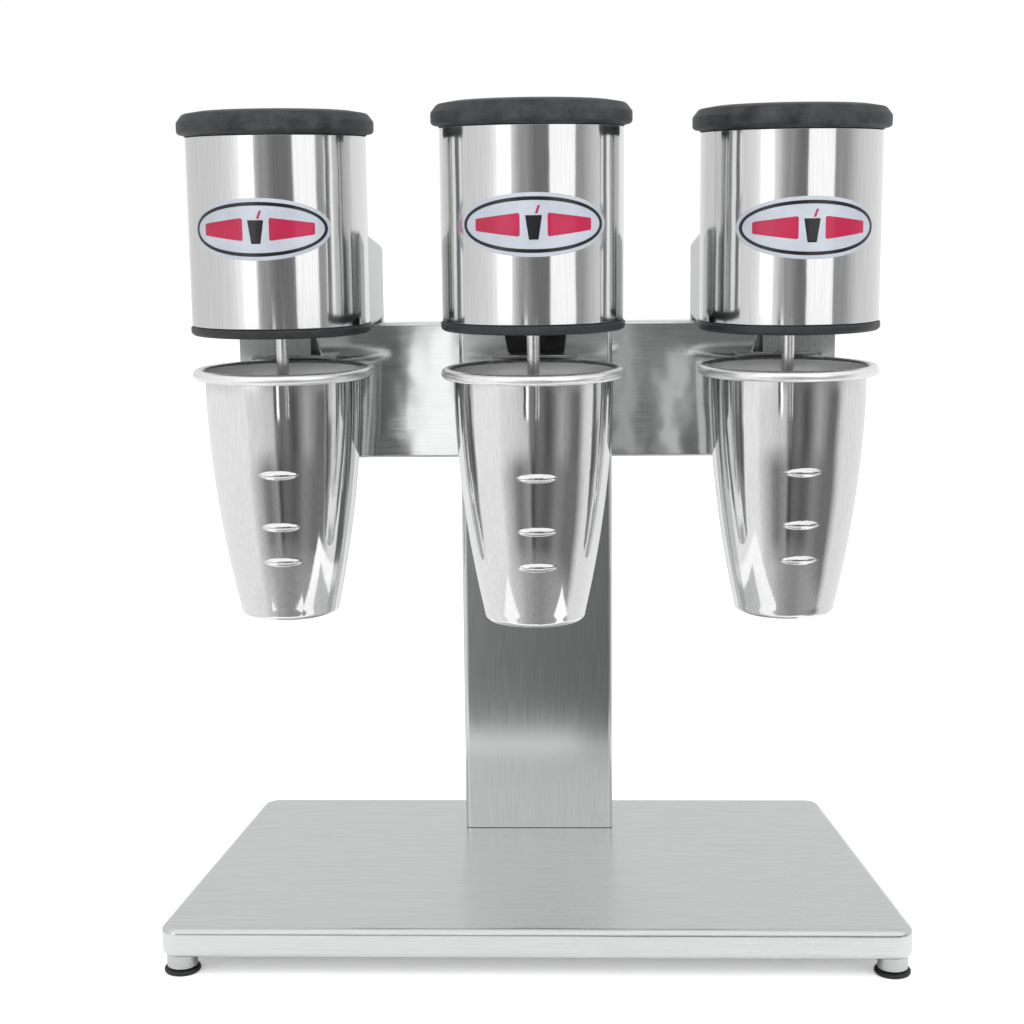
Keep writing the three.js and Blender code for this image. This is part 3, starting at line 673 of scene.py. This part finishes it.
def base_pan():
    """Folded pan, narrower at the back, with a lip that turns in all round its underside."""
    low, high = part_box("base_pan")
    half_depth = high.y
    front = high.x + 1.0 * MM     # the sharp corner; its rounding ends at the box
    rear = front - 26 * MM
    corner = 10 * MM
    edge = 4 * MM
    lip = 27 * MM
    wall = 1.5 * MM
    outline = with_normals([
        (-front, -half_depth, corner), (front, -half_depth, corner),
        (rear, half_depth, corner), (-rear, half_depth, corner),
    ], 10)
    outside = edge_levels(low.z, high.z, edge, 6)
    inside = [(lip, low.z), (lip, low.z + wall), (wall, low.z + wall), (wall, high.z - wall)]
    piece = stacked("base_pan_shell", outline, inside[::-1] + outside, plan, "root",
                    "deck")
    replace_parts(crisp(piece), "base_pan")


def feet():
    for end in ("front", "rear"):
        for side in ("left", "right"):
            stem = f"{end}_{side}_foot"
            low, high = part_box(stem + "_collar")
            centre = (low + high) / 2
            radius = (high.x - low.x) / 2
            collar = rounded([
                (0, low.z, 0), (radius - 0.5 * MM, low.z, 0.3 * MM), (radius, low.z + 0.8 * MM, 0.4 * MM),
                (radius, high.z - 0.8 * MM, 0.4 * MM), (radius - 0.6 * MM, high.z, 0.3 * MM),
                (0, high.z, 0),
            ])
            # the collar takes the darker copy of the turned steel: painted shade
            piece = turned(stem + "_ferrule", collar, centre, "root", "ferrule", 64)
            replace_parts(piece, stem + "_collar")
            low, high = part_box(stem + "_pad")
            radius = (high.x - low.x) / 2
            pad = rounded([
                (0, low.z, 0), (radius - 0.6 * MM, low.z, 0.4 * MM), (radius, low.z + 0.8 * MM, 0.5 * MM),
                (radius, high.z, 1.0 * MM), (0, high.z, 0),
            ])
            piece = turned(stem + "_tip", pad, centre, "root", "rubber", 64)
            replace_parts(piece, stem + "_pad")


def column():
    low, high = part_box("column_tube")
    bar_low, bar_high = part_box("crossbar")
    radius = 3.2 * MM
    slope = 10 / 45               # the closed top falls towards the back
    straight = high.z - 70 * MM   # up to here the sides don't follow that fall
    gap = 0.25 * MM
    outline = with_normals(rectangle(low.x, low.y, high.x, high.y, radius), 6)

    def place(x, y, height):
        if height <= straight:
            return x, y, height
        return x, y, height - slope * (y - low.y)

    upper_rim = edge_levels(low.z, high.z, 2.5 * MM)[5:]
    levels = [(0, low.z), (0, straight)] + upper_rim
    piece = stacked("column_skin", outline, levels, place, "root", "upright")
    past = 5 * MM
    slot_low = (low.x - past, bar_low.y - gap, bar_low.z - gap)
    slot_high = (high.x + past, bar_high.y + gap, bar_high.z + gap)
    switch = middle_of("middle_switch_body")
    half_width, half_height, depth = 6.5 * MM, 9.5 * MM, 14 * MM
    hole_low = (switch.x - half_width, high.y - depth, switch.z - half_height)
    hole_high = (switch.x + half_width, high.y + past, switch.z + half_height)
    cut_boxes(piece, [(slot_low, slot_high), (hole_low, hole_high)])
    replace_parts(crisp(piece), "column_tube")


def crossbar():
    low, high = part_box("crossbar")
    splay = 20.5 * MM             # how much further each end reaches at the top than at the bottom
    lower_half = high.x - splay
    outline = with_normals([
        (-lower_half, low.z, 7.5 * MM), (lower_half, low.z, 7.5 * MM),
        (high.x, high.z, 2 * MM), (-high.x, high.z, 2 * MM),
    ], 8)
    levels = edge_levels(low.y, high.y, 1.6 * MM)
    piece = stacked("crossbar_box", outline, levels, facing, "root", "bar")
    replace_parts(crisp(piece), "crossbar")


def brackets():
    for side in ("left", "right"):
        sheet_metal(side + "_bracket", "bracket", 0.5 * MM)
    sheet_metal("middle_bracket", "bracket", 0.4 * MM)
    for side in SIDES:
        sheet_metal(side + "_cup_clip", "bar", 0.3 * MM)


def lead_boot():
    low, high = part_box("lead_boot")
    outline = with_normals([
        (low.x + 3.5 * MM, low.z, 1.5 * MM), (high.x - 2 * MM, low.z, 1.5 * MM),
        (high.x, high.z, 0.8 * MM), (low.x, high.z, 0.8 * MM),
    ])
    piece = stacked("lead_boot_moulding", outline, edge_levels(low.y, high.y, 1.2 * MM), facing,
                    "root", "rubber")
    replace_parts(crisp(piece), "lead_boot")


def cable_gland():
    low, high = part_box("cable_gland")
    centre = (low + high) / 2
    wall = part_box("column_tube")[1].y + 0.3 * MM
    bore = 3.6 * MM
    dome = rounded([
        (bore, wall - 7 * MM, 0), (6 * MM, wall - 7 * MM, 0), (6 * MM, wall + 3 * MM, 0),
        (8.2 * MM, wall + 3 * MM, 0.4 * MM), (7.4 * MM, wall + 5 * MM, 0.5 * MM),
        (6.2 * MM, high.y - 0.6 * MM, 1.4 * MM), (bore + 0.5 * MM, high.y - 0.2 * MM, 0.5 * MM),
        (bore, high.y - 2 * MM, 0),
    ])
    piece = turned("cable_gland_dome", dome, (centre.x, centre.z), "root", "flange",
                   48, closed=True, laid=True)
    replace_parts(piece, "cable_gland")
    nut_radius = 9.4 * MM
    corners = [
        (centre.x + nut_radius * cos(k * pi / 3), centre.z + nut_radius * sin(k * pi / 3), 0.6 * MM)
        for k in range(6)
    ]
    stacked("cable_gland_nut", with_normals(corners, 3), edge_levels(wall, wall + 3 * MM, 0.5 * MM),
            facing, "root", "flange")


# ---------- heads ----------

SPIGOT = 50.6 * MM        # radius of what the lid and the flange put inside the housing


def lid(side, centre):
    low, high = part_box(side + "_lid")
    radius = (high.x - low.x) / 2
    seat = low.z + 5 * MM
    profile = rounded([
        (0, seat + 4 * MM, 0), (SPIGOT - 2.2 * MM, seat + 4 * MM, 0.5 * MM),
        (SPIGOT - 2.2 * MM, low.z, 0.3 * MM), (SPIGOT, low.z, 0.3 * MM), (SPIGOT, seat, 0.2 * MM),
        (SPIGOT + 2 * MM, seat, 0.6 * MM), (SPIGOT + 3 * MM, seat + 1.2 * MM, 0.5 * MM),
        (radius, seat + 1.2 * MM, 2.2 * MM), (radius, seat + 8.2 * MM, 2.4 * MM),
        (radius - 3.6 * MM, high.z - 1.8 * MM, 3.2 * MM), (radius - 12 * MM, high.z - 0.4 * MM, 5 * MM),
        (0, high.z, 0),
    ], 7)
    piece = turned(side + "_lid_cap", profile, centre, "root", "lid", 128)
    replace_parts(piece, side + "_lid")


def housing(side, centre):
    low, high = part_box(side + "_housing_shell")
    radius = (high.x - low.x) / 2
    wall = 1.0 * MM
    profile = rounded([
        (radius - wall, low.z, 0.2 * MM), (radius, low.z, 0.4 * MM), (radius, high.z, 0.4 * MM),
        (radius - wall, high.z, 0.2 * MM),
    ], 4, closed=True)
    piece = turned(side + "_housing_skin", profile, centre, "root", "housing",
                   160, closed=True)
    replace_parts(piece, side + "_housing_shell")


def lower_flange(side, centre):
    low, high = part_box(side + "_lower_flange")
    radius = (high.x - low.x) / 2
    shoulder = low.z + 5.3 * MM
    profile = rounded([
        (4.6 * MM, low.z + 1.2 * MM, 0), (9 * MM, low.z + 1.2 * MM, 0.6 * MM), (11 * MM, low.z, 0.6 * MM),
        (radius, low.z, 2.6 * MM), (radius, shoulder, 1.2 * MM), (SPIGOT, shoulder, 0.2 * MM),
        (SPIGOT, low.z + 9 * MM, 0.3 * MM), (SPIGOT - 2 * MM, low.z + 9 * MM, 0.3 * MM),
        (SPIGOT - 2 * MM, low.z + 3 * MM, 0.5 * MM), (14 * MM, low.z + 3 * MM, 0.5 * MM),
        (14 * MM, high.z, 0.4 * MM), (11.3 * MM, high.z, 0.4 * MM), (11.3 * MM, low.z + 8.3 * MM, 0),
        (4.6 * MM, low.z + 8.3 * MM, 0),
    ], 6, closed=True)
    piece = turned(side + "_flange_moulding", profile, centre, "root", "flange",
                   128, closed=True)
    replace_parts(piece, side + "_lower_flange")


def wrapped(side, name, rings, centre, radius, turn, material, capped=True):
    """Closed thin plate bent round a cylinder, its middle turned from the front by turn.

    rings are outlines in (arc length, z), each (offset from the skin, points), from cap to cap,
    or round on themselves where the piece isn't capped.
    """
    build = bmesh.new()
    made = []
    for height, points in rings:
        ring = []
        for along, z in points:
            angle = turn + along / radius
            reach = radius + height
            ring.append(build.verts.new((centre.x + reach * sin(angle), centre.y - reach * cos(angle), z)))
        made.append(ring)
    connect(build, made, True)
    for ring in (made[0], made[-1]) if capped else ():
        middle = build.verts.new(sum((v.co for v in ring), Vector()) / len(ring))
        for i, vertex in enumerate(ring):
            build.faces.new((ring[i - 1], vertex, middle))
    return finish_mesh(f"{side}_{name}", build, "root", material, 30)


def oval(half_width, half_height, z, count=96):
    return [(half_width * cos(2 * pi * k / count), z + half_height * sin(2 * pi * k / count))
            for k in range(count)]


def plate_rings(outline, middle, floor, top, rim):
    """Rings of a thin plate with the given outline and a softened front rim of that width."""
    def shrunk(share):
        return [(middle[0] + (x - middle[0]) * share, middle[1] + (z - middle[1]) * share)
                for x, z in outline]

    reach = min(hypot(x - middle[0], z - middle[1]) for x, z in outline)
    inner = 1 - rim / reach
    steps = (0.15, 0.3, 0.45, 0.6, 0.75, 0.9)
    back = [(floor, shrunk(share)) for share in steps]
    front = [(top, shrunk(inner * share)) for share in steps[::-1]]
    side = [(floor, outline), (top - rim * 0.4, outline), (top, shrunk(inner))]
    return back + side + front


def hoop_rings(half_width, half_height, width, z, floor, top):
    """Rings of an oval hoop that goes round on itself: out, up, in and down."""
    outer = oval(half_width, half_height, z)
    inner = oval(half_width - width, half_height - width, z)
    return [(floor, inner), (floor, outer), (top, outer), (top, inner), (floor, inner)]


def filled_in(outline, step=1.5 * MM):
    """Outline with points added, so that no stretch is longer than step and it bends well."""
    filled = []
    for i, spot in enumerate(outline):
        before = outline[i - 1]
        pieces = max(1, int((spot - before).length / step))
        filled += [before.lerp(spot, (k + 1) / pieces) for k in range(pieces)]
    return [tuple(spot) for spot in filled]


def tapered_bar(start, stop, z, thick, thin):
    """Outline of a bar that thins from start to stop, with rounded corners."""
    way = 1 if stop > start else -1
    corners = [(start, z - thick / 2, 1.2 * MM), (stop, z - thin / 2, 1.0 * MM),
               (stop, z + thin / 2, 1.0 * MM), (start, z + thick / 2, 1.2 * MM)]
    return filled_in(rounded(corners[::way], 4, closed=True))


def badge(side, centre):
    """Plain oval badge: silver plate, dark hoop, and a tumbler between two crimson bars."""
    low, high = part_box(side + "_badge")
    z = (low.z + high.z) / 2
    shell_low, shell_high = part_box(side + "_housing_shell")
    radius = (shell_high.x - shell_low.x) / 2
    outside = radius + 0.9 * MM
    left, right = (asin((edge - centre.x) / outside) for edge in (low.x, high.x))
    turn = (left + right) / 2
    half_width = radius * (right - left) / 2
    half_height = (high.z - low.z) / 2
    back = 0.3 * MM
    top = back + 0.45 * MM
    inlay = top + 0.1 * MM

    def stuck(name, rings, material, capped=True):
        return wrapped(side, name, rings, centre, radius, turn, material, capped)

    plate = plate_rings(oval(half_width, half_height, z), (0, z), back, top, 0.8 * MM)
    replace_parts(stuck("badge_plate", plate, "badge"), side + "_badge")
    hoop = hoop_rings(half_width - 2.6 * MM, half_height - 2.2 * MM, 2.0 * MM, z, top, inlay)
    stuck("badge_hoop", hoop, "badge_dark", capped=False)
    for name, way in (("left", -1), ("right", 1)):
        start, stop = way * 7.5 * MM, way * 33.5 * MM
        bar = tapered_bar(start, stop, z, 13 * MM, 6.5 * MM)
        rings = plate_rings(bar, ((start + stop) / 2, z), top, inlay, 0.3 * MM)
        stuck("badge_bar_" + name, rings, "badge_red")
    tumbler = rounded([
        (-2.6 * MM, z - 8.2 * MM, 0.8 * MM), (2.6 * MM, z - 8.2 * MM, 0.8 * MM),
        (4.6 * MM, z + 5.2 * MM, 0.5 * MM), (-4.6 * MM, z + 5.2 * MM, 0.5 * MM),
    ], 4, closed=True)
    rings = plate_rings(filled_in(tumbler), (0, z - MM), top, inlay, 0.3 * MM)
    stuck("badge_tumbler", rings, "badge_dark")
    straw = [(0.6 * MM, z + 5.9 * MM), (2.0 * MM, z + 5.9 * MM), (3.6 * MM, z + 10.4 * MM),
             (2.2 * MM, z + 10.4 * MM)]
    stuck("badge_straw", plate_rings(straw, (2.1 * MM, z + 8.1 * MM), top, inlay, 0.2 * MM), "badge_red")


# ---------- spindle, mixing disc and cup ----------

def spindle(side, centre):
    low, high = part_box(side + "_spindle_shaft")
    radius = (high.x - low.x) / 2
    body = side + "_spindle"
    profile = rounded([
        (0, low.z, 0), (radius - 0.6 * MM, low.z, 0.2 * MM), (radius, low.z + 0.6 * MM, 0.3 * MM),
        (radius, high.z - 0.8 * MM, 0.3 * MM), (radius - 0.8 * MM, high.z, 0.2 * MM), (0, high.z, 0),
    ], 3)
    piece = turned(side + "_spindle_rod", profile, centre, body, "turned", 48)
    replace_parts(piece, side + "_spindle_shaft")


DISC_LOBES = 6
DISC_WAVE = 1.7 * MM      # how far the disc's rim rises and falls


def mixing_disc(side, centre):
    """Pressed steel disc with a wavy rim, on a short turned hub."""
    low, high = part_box(side + "_agitator")
    body = side + "_spindle"
    bore = 4.0 * MM
    hub_radius = 6.2 * MM
    hub = rounded([
        (bore, low.z + 0.2 * MM, 0.2 * MM), (hub_radius, low.z + 0.2 * MM, 0.4 * MM),
        (hub_radius, high.z, 1.2 * MM), (bore, high.z, 0.3 * MM),
    ], 4, closed=True)
    piece = turned(side + "_agitator_hub", hub, centre, body, "turned", 48, closed=True)
    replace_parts(piece, side + "_agitator")
    build = bmesh.new()
    rim = 15 * MM
    level = low.z + 1.2 * MM
    half = 0.55 * MM
    radii = [hub_radius + (rim - hub_radius) * k / 7 for k in range(8)]
    path = [(r, half) for r in radii] + [(rim + 0.25 * MM, 0)] + [(r, -half) for r in radii[::-1]]

    def place(radius, height, angle):
        share = (radius - hub_radius) / (rim - hub_radius)
        wave = DISC_WAVE * sin(DISC_LOBES * angle) * share ** 1.5
        return centre.x + radius * cos(angle), centre.y + radius * sin(angle), level + height + wave

    swept_round(build, path, place, 144, closed=True)
    finish_mesh(side + "_agitator_disc", build, body, "turned")


# Turn of each cup about its axis, as it happens to hang, in degrees: the level marks face this way.
CUP_TURN = {"left": 3.0, "middle": 3.5, "right": 7.0}
CUP_NECK = 46.2 * MM
CUP_FOOT = 29 * MM
CUP_SWELL = 1.9
CUP_BEAD = 3.1 * MM
CUP_WALL = 0.8 * MM
MARK_HEIGHTS = (90 * MM, 58.8 * MM, 37.4 * MM)
MARK_HALF_LENGTH = 10.8 * MM
MARK_HALF_HEIGHT = 2.5 * MM
MARK_RISE = 1.5 * MM


def mark_rise(arc, height):
    """How far the cup's wall is pressed out at an arc length from the marks' line and a height."""
    taper = 1 - (arc / MARK_HALF_LENGTH) ** 2
    if taper <= 0:
        return 0.0
    for middle in MARK_HEIGHTS:
        share = abs(height - middle) / (MARK_HALF_HEIGHT * taper ** 0.6)
        if share < 1:
            return MARK_RISE * taper * (1 - share ** 2)
    return 0.0


def cup_radius(height, tall):
    """Outside radius of the cup at a height, where tall is the height of its neck."""
    left = max(0.0, 1 - height / tall)
    return CUP_NECK - (CUP_NECK - CUP_FOOT) * left ** CUP_SWELL


def cup_profile(tall, rim):
    """Outline of half a cup, up the outside, over the rolled rim and down the inside.

    Returns it with the places in it where the rim and the inside begin.
    """
    plain = [4 * MM + (tall - 4 * MM) * k / 40 for k in range(41)]
    fine = [middle + MARK_HALF_HEIGHT * k / 6 for middle in MARK_HEIGHTS for k in range(-7, 8)]
    corner = 4.5 * MM
    foot = cup_radius(corner, tall)
    bottom = rounded([
        (0, 0.6 * MM, 0), (foot - 9 * MM, 0.6 * MM, 3 * MM), (foot - 6 * MM, 0, 2 * MM),
        (foot - 0.6 * MM, 0, 3.4 * MM), (foot, corner, 0),
    ], 6)
    outside = [(cup_radius(h, tall), h) for h in sorted(set(plain + fine)) if h > corner]
    bead_radius, bead_height = rim - CUP_BEAD, tall + CUP_BEAD
    curl = []
    for k in range(25):
        angle = radians(-110 + 265 * k / 24)
        curl.append((bead_radius + CUP_BEAD * cos(angle), bead_height + CUP_BEAD * sin(angle)))
    inside = [(radius - CUP_WALL, height) for radius, height in outside[::-1]]
    floor = [(spot.x - CUP_WALL * 0.7, spot.y + CUP_WALL) for spot in bottom[-2:0:-1]]
    under = [tuple(spot) for spot in bottom]
    middle = [(0, 0.6 * MM + CUP_WALL)]
    rim_from = len(under + outside)
    return under + outside + curl + inside + floor + middle, rim_from, rim_from + len(curl)


def cup(side, centre):
    """Spun steel cup with a rolled rim and three level marks, satin on the rim and inside; its rim is
    lightened as a painted highlight and its inside as painted light against the shade under the head.
    """
    low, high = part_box(side + "_cup")
    profile, rim_from, inside_from = cup_profile(high.z - low.z - 2 * CUP_BEAD, (high.x - low.x) / 2)
    front = -pi / 2 + radians(CUP_TURN[side])

    def place(radius, height, angle):
        turn = angle if angle <= pi else angle - 2 * pi
        reach = radius + mark_rise(radius * turn, height)
        way = front + angle
        return centre.x + reach * cos(way), centre.y + reach * sin(way), low.z + height

    build = bmesh.new()
    columns = swept_round(build, profile, place, 240)
    rim = {vertex for column in columns for vertex in column[rim_from:]}
    inside = {vertex for column in columns for vertex in column[inside_from - 1:]}
    for face in build.faces:
        face.material_index = sum(all(v in part for v in face.verts) for part in (rim, inside))
    piece = finish_mesh(side + "_cup_steel", build, side + "_cup", "cup", 50)
    # the rim and the inside take their lighter copies of the steel: painted highlight and painted light
    piece.data.materials.append(MATERIALS["rim"])
    piece.data.materials.append(MATERIALS["inner"])
    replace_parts(piece, side + "_cup")


# ---------- rear switches and screws ----------

ROCKER_TILT = radians(10)


def switch(side):
    low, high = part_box(side + "_switch_body")
    middle = (low + high) / 2
    wall = high.y - 1.8 * MM
    outline = with_normals(rectangle(low.x, low.z, high.x, high.z, 1.2 * MM), 4)
    pocket = 2.55 * MM
    body = 1.4 * MM
    levels = [(pocket, wall - 7 * MM), (pocket, high.y - 0.4 * MM), (pocket - 0.4 * MM, high.y),
              (0.7 * MM, high.y), (0.2 * MM, high.y - 0.3 * MM), (0, high.y - 0.8 * MM),
              (0, wall + 0.3 * MM), (body, wall + 0.3 * MM), (body, low.y)]
    piece = stacked(side + "_switch_frame", outline, levels, facing, "root",
                    "switch", 30)
    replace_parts(crisp(piece), side + "_switch_body")
    rocker(side, Vector((middle.x, wall + 1 * MM, middle.z)))


def rocker(side, pivot):
    """Two-way paddle, tipped to its off position, with the usual bar and ring on its halves."""
    low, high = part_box(side + "_rocker")
    half_width = (high.x - low.x) / 2
    outline = with_normals([
        (-3 * MM, -4.2 * MM, 0.5 * MM), (0.4 * MM, -7.3 * MM, 0.5 * MM), (1.8 * MM, -6.9 * MM, 0.5 * MM),
        (1.0 * MM, 0, 6 * MM), (1.8 * MM, 6.9 * MM, 0.5 * MM), (0.4 * MM, 7.3 * MM, 0.5 * MM),
        (-3 * MM, 4.2 * MM, 0.5 * MM),
    ], 5)
    tilt = Matrix.Rotation(ROCKER_TILT, 3, "X")

    def place(y, z, x):
        return pivot + tilt @ Vector((x, y, z))

    levels = edge_levels(-half_width, half_width, 0.45 * MM, 3)
    body = side + "_rocker"
    piece = stacked(side + "_rocker_paddle", outline, levels, place, body,
                    "switch", 30)
    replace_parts(piece, side + "_rocker")

    def face(x, z, lift):
        depth = 1.0 * MM + abs(z) * 0.8 / 6.9
        return pivot + tilt @ Vector((x, depth + lift, z))

    lifts = [(0, -0.2 * MM), (0, 0.06 * MM), (0.06 * MM, 0.09 * MM)]
    bar = with_normals(rectangle(-0.35 * MM, 2.6 * MM, 0.35 * MM, 5.0 * MM, 0.1 * MM), 2)
    stacked(side + "_rocker_on_mark", bar, lifts, face, body, "mark")
    build = bmesh.new()
    rings = []
    for radius, lift in ((0.8, -0.2), (1.4, -0.2), (1.4, 0.08), (0.8, 0.08), (0.8, -0.2)):
        ring = []
        for k in range(24):
            angle = 2 * pi * k / 24
            spot = face(radius * MM * cos(angle), -3.9 * MM + radius * MM * sin(angle), lift * MM)
            ring.append(build.verts.new(spot))
        rings.append(ring)
    connect(build, rings, True)
    finish_mesh(side + "_rocker_off_mark", build, body, "mark")


def screw(name, seat, way, radius=3.2 * MM):
    """Pan-head screw with a cross slot, its head on seat and facing way."""
    tall = radius * 0.62
    build = bmesh.new()
    profile = rounded([
        (0, -0.6 * MM, 0), (radius * 0.98, -0.6 * MM, 0), (radius, tall * 0.35, radius * 0.3),
        (radius * 0.62, tall * 0.93, radius * 0.5), (0, tall, 0),
    ], 5)

    def place(reach, height, angle):
        return reach * cos(angle), reach * sin(angle), height

    swept_round(build, profile, place, 40)
    piece = finish_mesh(name, build, "root", "turned", 35)
    slot_half, slot_width, slot_floor = radius * 0.55, radius * 0.11, tall * 0.3
    cut_boxes(piece, [
        ((-slot_half, -slot_width, slot_floor), (slot_half, slot_width, 2 * tall)),
        ((-slot_width, -slot_half, slot_floor), (slot_width, slot_half, 2 * tall)),
    ])
    turn = Vector(way).to_track_quat("Z", "Y").to_matrix().to_4x4()
    piece.data.transform(Matrix.Translation(seat) @ turn)


# the screws on the back of each piece: its node, its screws' name, and how far they stand from its
# bottom and its top
REAR_SCREWS = (
    ("left_bracket", "left_bracket", 9 * MM, 22 * MM),
    ("right_bracket", "right_bracket", 9 * MM, 22 * MM),
    ("column_tube", "column", 16 * MM, 30 * MM),
)
REAR_SCREW_INSET = 9 * MM


def rear_screws():
    """Four screws on the back of each outer bracket and of the column."""
    for node_name, stem, lift, drop in REAR_SCREWS:
        low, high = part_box(node_name)
        for i, x in enumerate((low.x + REAR_SCREW_INSET, high.x - REAR_SCREW_INSET)):
            for j, z in enumerate((low.z + lift, high.z - drop)):
                screw(f"{stem}_screw_{i}{j}", Vector((x, high.y, z)), (0, 1, 0))


def underside_screws(side, centre):
    """Three screws under each head, which hold the flange to the motor frame."""
    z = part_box(side + "_lower_flange")[0].z
    for k in range(3):
        angle = pi / 2 + 2 * pi * k / 3
        seat = Vector((centre.x + 37.5 * MM * cos(angle), centre.y + 37.5 * MM * sin(angle), z))
        screw(f"{side}_flange_screw_{k}", seat, (0, 0, -1), 2.6 * MM)


def hidden_motor(side):
    """The motor's pieces keep their CAD solids: only their materials change."""
    looks = {"motor_stator": "iron", "rotor": "copper", "lower_bearing": "turned",
             "upper_bearing": "turned"}
    for name, material in looks.items():
        mesh = frame["nodes"][f"{side}_{name}"].data
        mesh.materials.clear()
        mesh.materials.append(MATERIALS[material])


# ---------- the whole machine ----------

def head(side):
    centre = middle_of(side + "_lid")
    lid(side, centre)
    housing(side, centre)
    lower_flange(side, centre)
    badge(side, centre)
    spindle(side, centre)
    mixing_disc(side, centre)
    cup(side, centre)
    switch(side)
    underside_screws(side, centre)
    hidden_motor(side)


base_pan()
feet()
column()
crossbar()
brackets()
lead_boot()
cable_gland()
for side in SIDES:
    head(side)
rear_screws()
